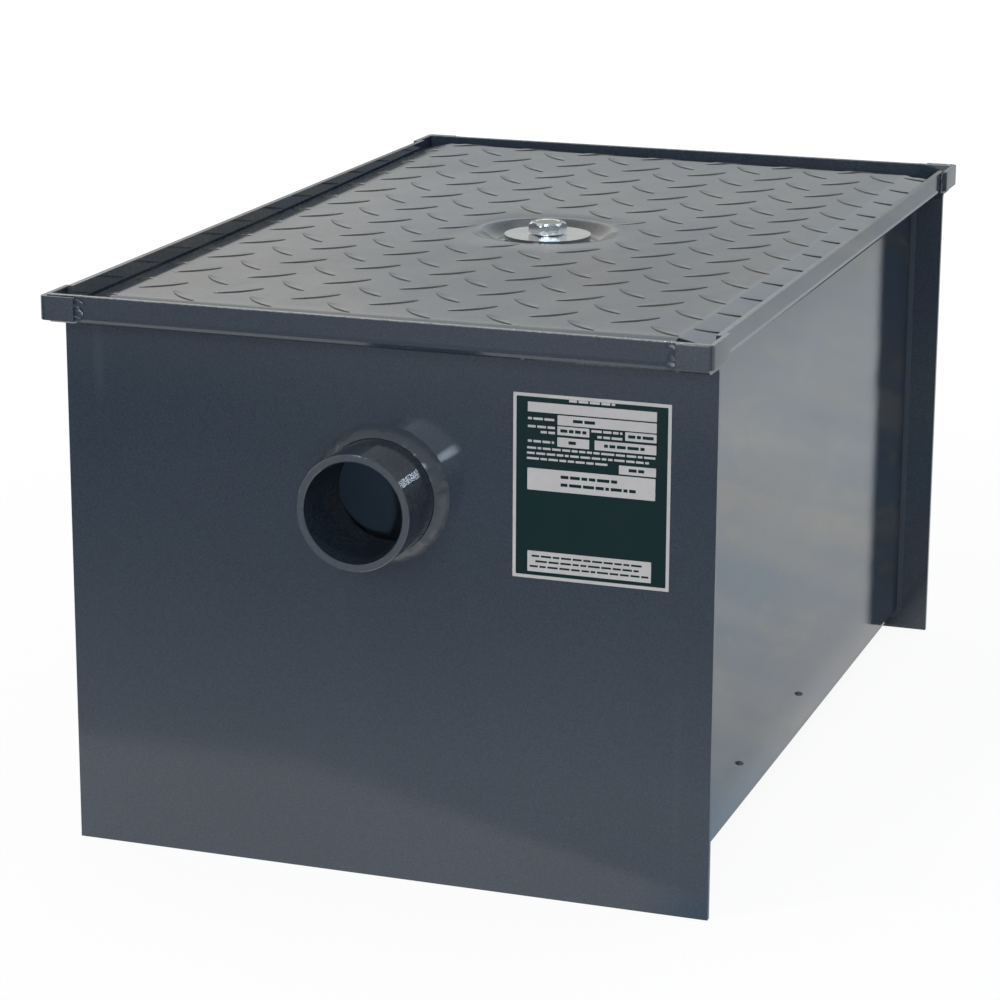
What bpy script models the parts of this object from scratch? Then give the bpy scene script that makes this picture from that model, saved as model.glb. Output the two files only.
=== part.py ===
"""Grease trap: a welded sheet-steel tank with two pipe stubs and a tread-plate cover.

X runs across the tank, the inlet faces -Y and Z is up. The origin is at the middle of
the tank, at the lower edges of the end plates that it stands on. Sizes are in metres.
"""

import math

import bmesh
import bpy
from mathutils import Vector

# Fits: the gap between pieces that touch, and the play of pieces that slide.
CLEAR = 0.0003
SLIDE_PLAY = 0.0006

# Sheet steel of the tank, its end plates and their folds.
SHEET = 0.003
BEND = 0.0025
BEND_STEPS = 4

# Tank: outside sizes of the body, and heights above the end plates' lower edges.
TANK_WIDTH = 0.312
TANK_LENGTH = 0.5234
FLOOR_HEIGHT = 0.0095
FLANGE_HEIGHT = 0.286
RIM_HEIGHT = 0.0155
SIDE_REACH = 0.019
END_REACH = 0.020

# Corner brackets, bent strips lapped over the four open corners of the rim.
BRACKET_SHEET = 0.003
BRACKET_BEND = 0.0006
BRACKET_HEIGHT = 0.0126
BRACKET_END_LEG = 0.0195
BRACKET_SIDE_LEG = 0.031
BRACKET_WELD_LEG = 0.0035

# Pipe stubs, two-inch pipe.
PIPE_DIAMETER = 0.0603
PIPE_WALL = 0.0039
PIPE_BELOW_FLANGE = 0.0788
PIPE_REACH = 0.041
PIPE_INSET = 0.004
PIPE_CHAMFER = 0.0006
ROUND_STEPS = 48

# Weld beads.
PIPE_WELD_LEG = 0.006
PIPE_WELD_LUMP = 0.0007
SEAM_WELD_LEG = 0.004
SEAM_RIPPLE = 0.0003
SEAM_PITCH = 0.016

# Cover: tread plate with sloped margins and a pressed dish for the bolt.
COVER_SHEET = 0.003
COVER_GAP = 0.0015
CREST_DROP = 0.0032
MARGIN = 0.019
MARGIN_FALL = 0.0045
FOLD_SOFTNESS = 0.003
DISH_RADIUS = 0.0405
DISH_FLOOR_RADIUS = 0.027
DISH_DEPTH = 0.007
DISH_EDGE = 0.003
DISH_STEPS = 40

# Tread lugs: a square lattice of lens shapes, with a crossed lug at each cell's middle.
LUG_PITCH = 0.043
LUG_LENGTH = 0.033
LUG_WIDTH = 0.0066
LUG_HEIGHT = 0.0012
LUG_ROOT = 0.001
LUG_TOP_SHARE = 0.68
LUG_SIDE_POINTS = 3
LUG_OFFSET_X = -0.0089
LUG_OFFSET_Y = -0.0048
LUG_ANGLE = math.radians(44.0)
LUG_EDGE_MARGIN = 0.001
LUG_SHORTEST = 0.012
FLATNESS = math.radians(0.01)

# Gasket on the flange, pressed to the slope of the cover's margin.
GASKET_WIDTH = 0.010

# Centre bolt, its washers and the nut on the bar under the cover.
BOLT_DIAMETER = 0.0122
BOLT_LENGTH = 0.0385
HEAD_FLATS = 0.019
HEAD_HEIGHT = 0.007
HEAD_TURN = math.radians(23.0)
HEAD_CHAMFER = 0.0016
THREAD_CLEAR = 0.0004
HOLE_CLEAR = 0.001
WASHER_DIAMETER = 0.0496
WASHER_SHEET = 0.0024
SEAL_DIAMETER = 0.040
SEAL_THICKNESS = 0.0008
NUT_HEIGHT = 0.011
BAR_WIDTH = 0.038
BAR_THICKNESS = 0.006
BAR_BELOW_FLANGE = 0.016

# Baffles: two that lift out of guides, and a fixed weir between them.
BAFFLE_SHEET = 0.002
BAFFLE_SPACING = 0.134
BAFFLE_BELOW_FLANGE = 0.034
BAFFLE_SLOT_WIDTH = 0.200
BAFFLE_SLOT_HEIGHT = 0.045
BAFFLE_LIFT_HOLE = 0.025
BAFFLE_HOLE_DROP = 0.024
GUIDE_SHEET = 0.0015
GUIDE_BEND = 0.001
GUIDE_DEPTH = 0.012
GUIDE_LIFT = 0.010
GUIDE_BELOW_BAFFLE = 0.010
WEIR_BELOW_PIPE = 0.0772
WEIR_CORNER = 0.004

# Places worked out from the sizes above.
WALL_X = TANK_WIDTH / 2
WALL_IN = WALL_X - SHEET
SIDE_RIM_X = WALL_X + SIDE_REACH
PLATE_Y = TANK_LENGTH / 2
PLATE_IN = PLATE_Y - SHEET
END_RIM_Y = PLATE_Y + END_REACH
BODY_END = PLATE_IN - CLEAR
FLOOR_TOP = FLOOR_HEIGHT + SHEET
FLANGE_TOP = FLANGE_HEIGHT + SHEET
RIM_TOP = FLANGE_HEIGHT + RIM_HEIGHT
CREST = RIM_TOP - CREST_DROP
COVER_X = SIDE_RIM_X - SHEET - COVER_GAP
COVER_Y = END_RIM_Y - SHEET - COVER_GAP
FOLD_X = COVER_X - MARGIN
FOLD_Y = COVER_Y - MARGIN
MARGIN_SLOPE = MARGIN_FALL / MARGIN
DISH_FLOOR = CREST - DISH_DEPTH
SEAL_BASE = DISH_FLOOR + CLEAR
WASHER_BASE = SEAL_BASE + SEAL_THICKNESS + CLEAR
HEAD_BASE = WASHER_BASE + WASHER_SHEET + CLEAR
BOLT_HOLE = BOLT_DIAMETER / 2 + HOLE_CLEAR
BAR_TOP = FLANGE_TOP - BAR_BELOW_FLANGE
PIPE_RADIUS = PIPE_DIAMETER / 2
PIPE_HEIGHT = FLANGE_HEIGHT - PIPE_BELOW_FLANGE
BAFFLE_TOP = FLANGE_TOP - BAFFLE_BELOW_FLANGE
GUIDE_TOP = BAFFLE_TOP - GUIDE_BELOW_BAFFLE
WEIR_TOP = PIPE_HEIGHT - WEIR_BELOW_PIPE
GUIDE_HALF = BAFFLE_SHEET / 2 + SLIDE_PLAY
GUIDE_BACK = WALL_IN - CLEAR
BAFFLE_EDGE = GUIDE_BACK - GUIDE_SHEET - SLIDE_PLAY

# Stands a flat outline upright, its own X across the tank and its own Y up.
FACING_Y = (math.radians(90), 0, 0)


def clear_scene():
    for item in list(bpy.data.objects):
        bpy.data.objects.remove(item, do_unlink=True)


def new_collection(name):
    group = bpy.data.collections.new(name)
    bpy.context.scene.collection.children.link(group)
    return group


def make_material(name, colour, roughness, metallic):
    material = bpy.data.materials.new(name)
    material.use_nodes = True
    shader = material.node_tree.nodes["Principled BSDF"]
    shader.inputs["Base Color"].default_value = (*colour, 1.0)
    shader.inputs["Roughness"].default_value = roughness
    shader.inputs["Metallic"].default_value = metallic
    return material


clear_scene()
PARTS = new_collection("grease_trap")
CUTTERS = new_collection("grease_trap_cutters")
PAINT = (0.045, 0.060, 0.080)
ZINC = (0.62, 0.62, 0.58)
RUBBER = (0.02, 0.02, 0.02)


def painted(name):
    return make_material(name + "_paint", PAINT, 0.22, 0.0)


def zinc_plated(name):
    return make_material(name + "_zinc", ZINC, 0.28, 1.0)


def black_rubber(name):
    return make_material(name + "_rubber", RUBBER, 0.7, 0.0)


def add_object(name, mesh, group=None):
    item = bpy.data.objects.new(name, mesh)
    (group or PARTS).objects.link(item)
    return item


def add_cutter(name, mesh):
    item = add_object(name, mesh, CUTTERS)
    item.hide_render = True
    item.display_type = "WIRE"
    return item


def finish(item, material, smooth=False):
    """Gives a piece its material and its shading."""
    item.data.materials.clear()
    item.data.materials.append(material)
    if smooth:
        item.data.shade_smooth()
        item.data.set_sharp_from_angle(angle=math.radians(35))
    return item


def combine(item, other, operation):
    """Adds a Boolean between a piece and a cutter."""
    step = item.modifiers.new(operation.lower(), "BOOLEAN")
    step.operation = operation
    step.solver = "EXACT"
    step.object = other


def flat_outline(name, loops, depth):
    """Extrudes closed outlines, the first one outside, evenly to both sides of their plane."""
    curve = bpy.data.curves.new(name, "CURVE")
    curve.dimensions = "2D"
    curve.fill_mode = "BOTH"
    curve.extrude = depth / 2
    for loop in loops:
        spline = curve.splines.new("POLY")
        spline.points.add(len(loop) - 1)
        for point, place in zip(spline.points, loop):
            point.co = (place[0], place[1], 0.0, 1.0)
        spline.use_cyclic_u = True
    holder = bpy.data.objects.new(name + "_outline", curve)
    CUTTERS.objects.link(holder)
    graph = bpy.context.evaluated_depsgraph_get()
    mesh = bpy.data.meshes.new_from_object(holder.evaluated_get(graph))
    bpy.data.objects.remove(holder)
    shape = bmesh.new()
    shape.from_mesh(mesh)
    bmesh.ops.remove_doubles(shape, verts=shape.verts, dist=0.00001)
    bmesh.ops.recalc_face_normals(shape, faces=shape.faces)
    shape.to_mesh(mesh)
    shape.free()
    mesh.name = name
    return mesh


def circle(radius, steps, middle=(0.0, 0.0)):
    """Points round a circle in an outline's plane."""
    points = []
    for step in range(steps):
        turn = 2 * math.pi * step / steps
        points.append((middle[0] + radius * math.cos(turn), middle[1] + radius * math.sin(turn)))
    return points


def folded_section(corners, thickness, bend):
    """Closed section of a sheet folded along a path, with the metal on the path's left."""
    corners = [Vector(corner) for corner in corners]
    face = []
    back = []
    for index, corner in enumerate(corners):
        before = corner - corners[index - 1] if index else corners[1] - corner
        after = corners[index + 1] - corner if index < len(corners) - 1 else before
        before = before.normalized()
        after = after.normalized()
        left = Vector((-before.y, before.x))
        turn = math.atan2(before.cross(after), before.dot(after))
        if abs(turn) < 0.001:
            face.append(corner)
            back.append(corner + left * thickness)
            continue
        side = 1 if turn > 0 else -1
        radius = bend + thickness if side > 0 else bend
        start = corner - before * radius * math.tan(abs(turn) / 2)
        centre = start + left * side * radius
        spoke = (start - centre).normalized()
        for step in range(BEND_STEPS + 1):
            angle = turn * step / BEND_STEPS
            ray = Vector((
                spoke.x * math.cos(angle) - spoke.y * math.sin(angle),
                spoke.x * math.sin(angle) + spoke.y * math.cos(angle),
            ))
            face.append(centre + ray * radius)
            back.append(centre + ray * (radius - side * thickness))
    return face + back[::-1]


def turned(name, profile, steps, group=None):
    """Turns a closed profile of (radius, height) points, outer side first, from the top down."""
    mesh = bpy.data.meshes.new(name)
    verts = [(radius, 0.0, height) for radius, height in profile]
    count = len(verts)
    mesh.from_pydata(verts, [(index, (index + 1) % count) for index in range(count)], [])
    item = add_object(name, mesh, group)
    screw = item.modifiers.new("turn", "SCREW")
    screw.axis = "Z"
    screw.angle = 2 * math.pi
    screw.steps = steps
    screw.render_steps = steps
    screw.use_merge_vertices = True
    screw.merge_threshold = 0.00001
    screw.use_smooth_shade = False
    return item


def loft(name, rings, closed):
    """Skins a row of equal rings of points, as a loop or with its ends capped."""
    shape = bmesh.new()
    rows = [[shape.verts.new(point) for point in ring] for ring in rings]
    count = len(rows[0])
    last = len(rows) if closed else len(rows) - 1
    for index in range(last):
        here = rows[index]
        there = rows[(index + 1) % len(rows)]
        for corner in range(count):
            after = (corner + 1) % count
            shape.faces.new((here[corner], here[after], there[after], there[corner]))
    if not closed:
        shape.faces.new(rows[0])
        shape.faces.new(rows[-1])
    bmesh.ops.recalc_face_normals(shape, faces=shape.faces)
    mesh = bpy.data.meshes.new(name)
    shape.to_mesh(mesh)
    shape.free()
    return mesh


def bead_section(corner, along_a, along_b, leg_a, leg_b):
    """Five points of a fillet weld in the corner between two faces, bulging a little."""
    toe_a = corner + along_a * leg_a
    toe_b = corner + along_b * leg_b
    bulge = 0.16
    third = toe_a.lerp(toe_b, 0.33) + (along_a + along_b) * leg_a * bulge
    two_thirds = toe_a.lerp(toe_b, 0.67) + (along_a + along_b) * leg_b * bulge
    return [corner, toe_a, third, two_thirds, toe_b]


# Tank.


def body_corners():
    """Corners of the folded body's outer face, from the left rim round to the right one."""
    return [
        (-SIDE_RIM_X, RIM_TOP),
        (-SIDE_RIM_X, FLANGE_HEIGHT),
        (-WALL_X, FLANGE_HEIGHT),
        (-WALL_X, FLOOR_HEIGHT),
        (WALL_X, FLOOR_HEIGHT),
        (WALL_X, FLANGE_HEIGHT),
        (SIDE_RIM_X, FLANGE_HEIGHT),
        (SIDE_RIM_X, RIM_TOP),
    ]


def build_tank_body():
    section = folded_section(body_corners(), SHEET, BEND)
    mesh = flat_outline("tank_body", [section], 2 * BODY_END)
    body = add_object("tank_body", mesh)
    body.rotation_euler = FACING_Y
    finish(body, painted("tank_body"), smooth=True)


def build_end_plate(name, side):
    """One end plate, folded out and up at its top into its rim, with the pipe's hole."""
    corners = [
        (PLATE_Y, 0.0),
        (PLATE_Y, FLANGE_HEIGHT),
        (END_RIM_Y, FLANGE_HEIGHT),
        (END_RIM_Y, RIM_TOP),
    ]
    section = folded_section(corners, SHEET, BEND)
    mesh = flat_outline(name, [section], 2 * SIDE_RIM_X)
    plate = add_object(name, mesh)
    plate.rotation_euler = (math.radians(90), 0, math.radians(90 if side > 0 else -90))
    hole = add_cutter(name + "_hole", bpy.data.meshes.new(name + "_hole"))
    shape = bmesh.new()
    radius = PIPE_RADIUS + CLEAR
    depth = SHEET * 4
    bmesh.ops.create_cone(
        shape, cap_ends=True, segments=ROUND_STEPS, radius1=radius, radius2=radius, depth=depth
    )
    shape.to_mesh(hole.data)
    shape.free()
    hole.rotation_euler = FACING_Y
    hole.location = (0, side * PLATE_Y, PIPE_HEIGHT)
    combine(plate, hole, "DIFFERENCE")
    finish(plate, painted(name), smooth=True)


def build_pipe(name, side):
    """A pipe stub that passes through its end plate, with its mouth's edges eased."""
    outer = PIPE_RADIUS
    inner = PIPE_RADIUS - PIPE_WALL
    mouth = PIPE_REACH
    root = -SHEET - PIPE_INSET
    ease = PIPE_CHAMFER
    profile = [
        (outer - ease, mouth),
        (outer, mouth - ease),
        (outer, root),
        (inner, root),
        (inner, mouth - ease),
        (inner + ease, mouth),
    ]
    pipe = turned(name, profile, ROUND_STEPS)
    pipe.rotation_euler = (math.radians(-90 * side), 0, 0)
    pipe.location = (0, side * PLATE_Y, PIPE_HEIGHT)
    finish(pipe, painted(name), smooth=True)


def lump(turn):
    """Unevenness of the hand-laid bead round a pipe, from -1 to 1."""
    return 0.5 * math.sin(5 * turn + 0.7) + 0.3 * math.sin(9 * turn) + 0.2 * math.sin(14 * turn + 2)


def build_pipe_weld(name, side):
    """Fillet weld between a pipe and the outer face of its end plate."""
    rings = []
    for step in range(ROUND_STEPS):
        turn = 2 * math.pi * step / ROUND_STEPS
        outward = Vector((math.cos(turn), 0, math.sin(turn)))
        away = Vector((0, side, 0))
        corner = outward * (PIPE_RADIUS + 2 * CLEAR) + away * CLEAR
        leg_out = PIPE_WELD_LEG + PIPE_WELD_LUMP * lump(turn)
        leg_along = PIPE_WELD_LEG + PIPE_WELD_LUMP * lump(turn + 1.3)
        rings.append(bead_section(corner, outward, away, leg_out, leg_along))
    weld = add_object(name, loft(name, rings, closed=True))
    weld.location = (0, side * PLATE_Y, PIPE_HEIGHT)
    finish(weld, painted(name), smooth=True)


def seam_path():
    """Points and outward directions down a wall, under the floor and up the other wall."""
    radius = BEND + SHEET
    top = FLANGE_HEIGHT - BEND - CLEAR
    low = FLOOR_HEIGHT + radius
    side = WALL_X - radius
    points = []
    wall_steps = max(2, round((top - low) / SEAM_PITCH))
    floor_steps = max(2, round(2 * side / SEAM_PITCH))
    for step in range(wall_steps + 1):
        height = top + (low - top) * step / wall_steps
        points.append((Vector((-WALL_X, 0, height)), Vector((-1, 0, 0))))
    for step in range(1, BEND_STEPS + 1):
        angle = math.pi + math.pi / 2 * step / BEND_STEPS
        ray = Vector((math.cos(angle), 0, math.sin(angle)))
        points.append((Vector((-side, 0, low)) + ray * radius, ray))
    for step in range(1, floor_steps // 2 + 1):
        across = -side + 2 * side * step / floor_steps
        points.append((Vector((across, 0, FLOOR_HEIGHT)), Vector((0, 0, -1))))
    if floor_steps % 2:
        points.append((Vector((0, 0, FLOOR_HEIGHT)), Vector((0, 0, -1))))
    mirrored = []
    for place, ray in points[::-1]:
        if place.x < -CLEAR:
            mirrored.append((Vector((-place.x, 0, place.z)), Vector((-ray.x, 0, ray.z))))
    return points + mirrored


def build_seam_weld(name, side):
    """Fillet weld outside the tank, where the body meets an end plate."""
    away = Vector((0, -side, 0))
    rings = []
    for index, (place, ray) in enumerate(seam_path()):
        leg = SEAM_WELD_LEG + SEAM_RIPPLE * math.sin(1.9 * index)
        rings.append(bead_section(place + ray * CLEAR + away * CLEAR, ray, away, leg, leg))
    weld = add_object(name, loft(name, rings, closed=False))
    weld.location = (0, side * PLATE_IN, 0)
    finish(weld, painted(name), smooth=True)


def build_corner_bracket(name, side_x, side_y):
    """A strip bent round one open corner of the rim, outside both rims."""
    outer_x = SIDE_RIM_X + CLEAR + BRACKET_SHEET
    outer_y = END_RIM_Y + CLEAR + BRACKET_SHEET
    path = [
        (side_x * (outer_x - BRACKET_END_LEG), side_y * outer_y),
        (side_x * outer_x, side_y * outer_y),
        (side_x * outer_x, side_y * (outer_y - BRACKET_SIDE_LEG)),
    ]
    if side_x * side_y > 0:
        path = path[::-1]
    section = folded_section(path, BRACKET_SHEET, BRACKET_BEND)
    bracket = add_object(name, flat_outline(name, [section], BRACKET_HEIGHT))
    bracket.location = (0, 0, RIM_TOP - BRACKET_HEIGHT / 2)
    finish(bracket, painted(name), smooth=True)


def build_bracket_welds(name, side_x, side_y):
    """The beads at the two ends of a corner bracket."""
    outer_x = SIDE_RIM_X + CLEAR + BRACKET_SHEET
    outer_y = END_RIM_Y + CLEAR + BRACKET_SHEET
    across = Vector((-side_x, 0, 0))
    along = Vector((0, -side_y, 0))
    end_corner = Vector((side_x * (outer_x - BRACKET_END_LEG - CLEAR), side_y * (END_RIM_Y + CLEAR), 0))
    side_corner = Vector((side_x * (SIDE_RIM_X + CLEAR), side_y * (outer_y - BRACKET_SIDE_LEG - CLEAR), 0))
    places = [
        ("end", end_corner, across, -along),
        ("side", side_corner, along, -across),
    ]
    for label, corner, run, out in places:
        rings = []
        for share in (0.04, 0.2, 0.5, 0.8, 0.96):
            height = Vector((0, 0, RIM_TOP - BRACKET_HEIGHT * share))
            swell = 1.0 + 0.35 * math.sin(math.pi * share)
            leg = BRACKET_WELD_LEG * swell
            rings.append(bead_section(corner + height, run, out, leg, BRACKET_SHEET * 0.8))
        weld_name = f"{name}_{label}"
        weld = add_object(weld_name, loft(weld_name, rings, closed=False))
        finish(weld, painted(weld_name), smooth=True)


# Cover.


def fold_drop(beyond):
    """Fall of the cover's face at a distance past a fold line, eased across the fold."""
    soft = FOLD_SOFTNESS
    if beyond <= -soft:
        return 0.0
    if beyond >= soft:
        return MARGIN_SLOPE * beyond
    return MARGIN_SLOPE * (beyond + soft) ** 2 / (4 * soft)


def cover_height(x, y):
    """Height of the cover's upper face, without lugs or dish."""
    return CREST - max(fold_drop(abs(x) - FOLD_X), fold_drop(abs(y) - FOLD_Y))


def fold_stations(fold, edge):
    """Lines across the cover where its face bends or ends, on one side."""
    return [fold - FOLD_SOFTNESS, fold, fold + FOLD_SOFTNESS, edge]


def dish_rings():
    """Radius and depth of the pressed dish, from its lip to the bolt's hole."""
    return [
        (DISH_RADIUS, 0.0),
        (DISH_RADIUS - DISH_EDGE, DISH_DEPTH * 0.10),
        (DISH_FLOOR_RADIUS + DISH_EDGE / 2, DISH_DEPTH * 0.90),
        (DISH_FLOOR_RADIUS - DISH_EDGE / 2, DISH_DEPTH),
        (BOLT_HOLE, DISH_DEPTH),
    ]


def cover_face():
    """The cover's upper face as an open surface: crest, four margins and the dish."""
    shape = bmesh.new()
    stations_x = fold_stations(FOLD_X, COVER_X)
    stations_y = fold_stations(FOLD_Y, COVER_Y)
    xs = [-x for x in stations_x[::-1]] + stations_x
    ys = [-y for y in stations_y[::-1]] + stations_y
    verts = {}
    for column, x in enumerate(xs):
        for row, y in enumerate(ys):
            verts[column, row] = shape.verts.new((x, y, cover_height(x, y)))
    middle = len(stations_x) - 1
    for column in range(len(xs) - 1):
        for row in range(len(ys) - 1):
            outside_x = abs(xs[column] + xs[column + 1]) / 2 > FOLD_X
            outside_y = abs(ys[row] + ys[row + 1]) / 2 > FOLD_Y
            if (outside_x and outside_y) or (column == middle and row == middle):
                continue
            shape.faces.new((
                verts[column, row],
                verts[column + 1, row],
                verts[column + 1, row + 1],
                verts[column, row + 1],
            ))
    loose = [vert for vert in shape.verts if not vert.link_faces]
    bmesh.ops.delete(shape, geom=loose, context="VERTS")
    rings = []
    for radius, depth in dish_rings():
        ring = [shape.verts.new((x, y, CREST - depth)) for x, y in circle(radius, DISH_STEPS)]
        rings.append(ring)
    for outer, inner in zip(rings, rings[1:]):
        for step in range(DISH_STEPS):
            after = (step + 1) % DISH_STEPS
            shape.faces.new((outer[step], outer[after], inner[after], inner[step]))
    border = []
    for first, second in (((0, 0), (1, 0)), ((1, 0), (1, 1)), ((1, 1), (0, 1)), ((0, 1), (0, 0))):
        start = verts[middle + first[0], middle + first[1]]
        end = verts[middle + second[0], middle + second[1]]
        border.append(shape.edges.get((start, end)))
    for step in range(DISH_STEPS):
        border.append(shape.edges.get((rings[0][step], rings[0][(step + 1) % DISH_STEPS])))
    bmesh.ops.triangle_fill(shape, edges=border, use_beauty=True, use_dissolve=False)
    bmesh.ops.recalc_face_normals(shape, faces=shape.faces)
    shape.faces.ensure_lookup_table()
    if sum(face.normal.z * face.calc_area() for face in shape.faces) < 0:
        bmesh.ops.reverse_faces(shape, faces=shape.faces)
    return shape


def lug_seats():
    """Middles and directions of the lugs, each cut short where the cover ends."""
    limit_x = COVER_X - LUG_EDGE_MARGIN
    limit_y = COVER_Y - LUG_EDGE_MARGIN
    columns = math.ceil(COVER_X / LUG_PITCH) + 1
    rows = math.ceil(COVER_Y / LUG_PITCH) + 1
    seats = []
    for column in range(-columns, columns + 1):
        for row in range(-rows, rows + 1):
            for shift, sign in ((0.0, 1), (0.5, -1)):
                middle = Vector((
                    LUG_OFFSET_X + (column + shift) * LUG_PITCH,
                    LUG_OFFSET_Y + (row + shift) * LUG_PITCH,
                ))
                run = Vector((math.cos(LUG_ANGLE), sign * math.sin(LUG_ANGLE)))
                seat = trimmed_lug(middle, run, limit_x, limit_y)
                if seat:
                    seats.append(seat)
    return seats


def trimmed_lug(middle, run, limit_x, limit_y):
    """One lug's middle, direction and length on the cover, or None if it isn't on it."""
    low = -LUG_LENGTH / 2
    high = LUG_LENGTH / 2
    for place, step, limit in ((middle.x, run.x, limit_x), (middle.y, run.y, limit_y)):
        ends = sorted(((-limit - place) / step, (limit - place) / step))
        low = max(low, ends[0])
        high = min(high, ends[1])
    if high - low < LUG_SHORTEST:
        return None
    centre = middle + run * (low + high) / 2
    reach = (high - low) / 2
    if min((centre + run * reach * share).length for share in (-1, 0, 1)) < DISH_RADIUS:
        return None
    if abs(centre.y) > FOLD_Y - FOLD_SOFTNESS:
        return None
    return centre, run, high - low


def lens_outline(length, width):
    """Pointed oval as a loop, from one tip round to the other and back."""
    upper = []
    for step in range(1, LUG_SIDE_POINTS + 1):
        share = step / (LUG_SIDE_POINTS + 1)
        upper.append((length * (share - 0.5), width / 2 * math.sin(math.pi * share)))
    lower = [(x, -y) for x, y in upper[::-1]]
    return [(-length / 2, 0.0)] + upper + [(length / 2, 0.0)] + lower


def lug_rings(centre, run, length):
    """Loops of one lug, its root in the sheet and its top above it, along the cover's face."""
    side = Vector((-run.y, run.x))
    tip_a = centre - run * length / 2
    tip_b = centre + run * length / 2
    height_a = cover_height(tip_a.x, tip_a.y)
    height_b = cover_height(tip_b.x, tip_b.y)
    height = cover_height(centre.x, centre.y)
    rings = []
    for scale, rise in ((1.0, -LUG_ROOT), (LUG_TOP_SHARE, LUG_HEIGHT)):
        ring = []
        for along, across in lens_outline(length * scale, LUG_WIDTH * scale):
            spot = centre + run * along + side * across
            end = height_b if along > 0 else height_a
            share = abs(along) * 2 / length
            level = height + (end - height) * share
            ring.append((spot.x, spot.y, level + rise))
        rings.append(ring)
    return rings


def build_cover():
    shape = cover_face()
    mesh = bpy.data.meshes.new("cover")
    shape.to_mesh(mesh)
    shape.free()
    cover = add_object("cover", mesh)
    skin = cover.modifiers.new("sheet", "SOLIDIFY")
    skin.thickness = COVER_SHEET
    skin.offset = -1.0
    skin.use_even_offset = True
    lugs = bmesh.new()
    for centre, run, length in lug_seats():
        lug = loft("lug", lug_rings(centre, run, length), closed=False)
        lugs.from_mesh(lug)
        bpy.data.meshes.remove(lug)
    bmesh.ops.connect_verts_nonplanar(lugs, angle_limit=FLATNESS, faces=lugs.faces)
    tread = add_cutter("cover_tread", bpy.data.meshes.new("cover_tread"))
    lugs.to_mesh(tread.data)
    lugs.free()
    combine(cover, tread, "UNION")
    finish(cover, painted("cover"), smooth=True)


def build_gasket():
    """Rubber ring on the flange, its upper face pressed to the slope of the cover."""
    flat_x = SIDE_RIM_X - SHEET - BEND - CLEAR
    flat_y = END_RIM_Y - SHEET - BEND - CLEAR
    under = COVER_SHEET * math.sqrt(1 + MARGIN_SLOPE ** 2) + CLEAR

    def loop(inset, height):
        x = flat_x - inset
        y = flat_y - inset
        return [(x, y, height), (-x, y, height), (-x, -y, height), (x, -y, height)]

    outer_top = min(cover_height(flat_x, 0), cover_height(0, flat_y)) - under
    inner_top = outer_top + MARGIN_SLOPE * GASKET_WIDTH
    base = FLANGE_TOP + CLEAR
    rings = [
        loop(0.0, base),
        loop(0.0, outer_top),
        loop(GASKET_WIDTH, inner_top),
        loop(GASKET_WIDTH, base),
    ]
    gasket = add_object("cover_gasket", loft("cover_gasket", rings, closed=True))
    finish(gasket, black_rubber("cover_gasket"))


# Hold-down bolt and what it passes through.


def build_washer(name, outer, thickness, base, material):
    hole = BOLT_HOLE
    profile = [(outer, thickness), (outer, 0.0), (hole, 0.0), (hole, thickness)]
    washer = turned(name, profile, ROUND_STEPS)
    washer.location = (0, 0, base)
    finish(washer, material, smooth=True)


def hexagon(name, flats, height):
    """Six-sided prism standing on its own origin."""
    mesh = bpy.data.meshes.new(name)
    shape = bmesh.new()
    radius = flats / math.sqrt(3)
    bmesh.ops.create_cone(
        shape, cap_ends=True, segments=6, radius1=radius, radius2=radius, depth=height
    )
    bmesh.ops.translate(shape, verts=shape.verts, vec=(0, 0, height / 2))
    shape.to_mesh(mesh)
    shape.free()
    return mesh


def build_bolt():
    """Hexagon bolt: the head's corners are eased by a cone, and the shank is added."""
    bolt = add_object("cover_bolt", hexagon("cover_bolt", HEAD_FLATS, HEAD_HEIGHT))
    bolt.location = (0, 0, HEAD_BASE)
    bolt.rotation_euler = (0, 0, HEAD_TURN)
    corner = HEAD_FLATS / math.sqrt(3)
    crown = HEAD_FLATS / 2 * 0.95
    easing = [(crown, HEAD_HEIGHT), (corner + CLEAR, HEAD_HEIGHT - HEAD_CHAMFER), (corner + CLEAR, -CLEAR)]
    cone = turned("cover_bolt_crown", [*easing, (0.0, -CLEAR), (0.0, HEAD_HEIGHT)], ROUND_STEPS, CUTTERS)
    cone.hide_render = True
    cone.display_type = "WIRE"
    cone.location = bolt.location
    shank = add_cutter("cover_bolt_shank", bpy.data.meshes.new("cover_bolt_shank"))
    shape = bmesh.new()
    radius = BOLT_DIAMETER / 2
    overlap = HEAD_HEIGHT / 2
    bmesh.ops.create_cone(
        shape, cap_ends=True, segments=24, radius1=radius, radius2=radius, depth=BOLT_LENGTH + overlap
    )
    shape.to_mesh(shank.data)
    shape.free()
    shank.location = (0, 0, HEAD_BASE + (overlap - BOLT_LENGTH) / 2)
    combine(bolt, cone, "INTERSECT")
    combine(bolt, shank, "UNION")
    finish(bolt, zinc_plated("cover_bolt"), smooth=True)


def build_nut():
    nut = add_object("bar_nut", hexagon("bar_nut", HEAD_FLATS, NUT_HEIGHT))
    nut.location = (0, 0, BAR_TOP + CLEAR)
    bore = add_cutter("bar_nut_bore", bpy.data.meshes.new("bar_nut_bore"))
    shape = bmesh.new()
    radius = BOLT_DIAMETER / 2 + THREAD_CLEAR
    bmesh.ops.create_cone(
        shape, cap_ends=True, segments=24, radius1=radius, radius2=radius, depth=NUT_HEIGHT * 3
    )
    shape.to_mesh(bore.data)
    shape.free()
    bore.location = nut.location
    combine(nut, bore, "DIFFERENCE")
    finish(nut, zinc_plated("bar_nut"), smooth=True)


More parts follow.
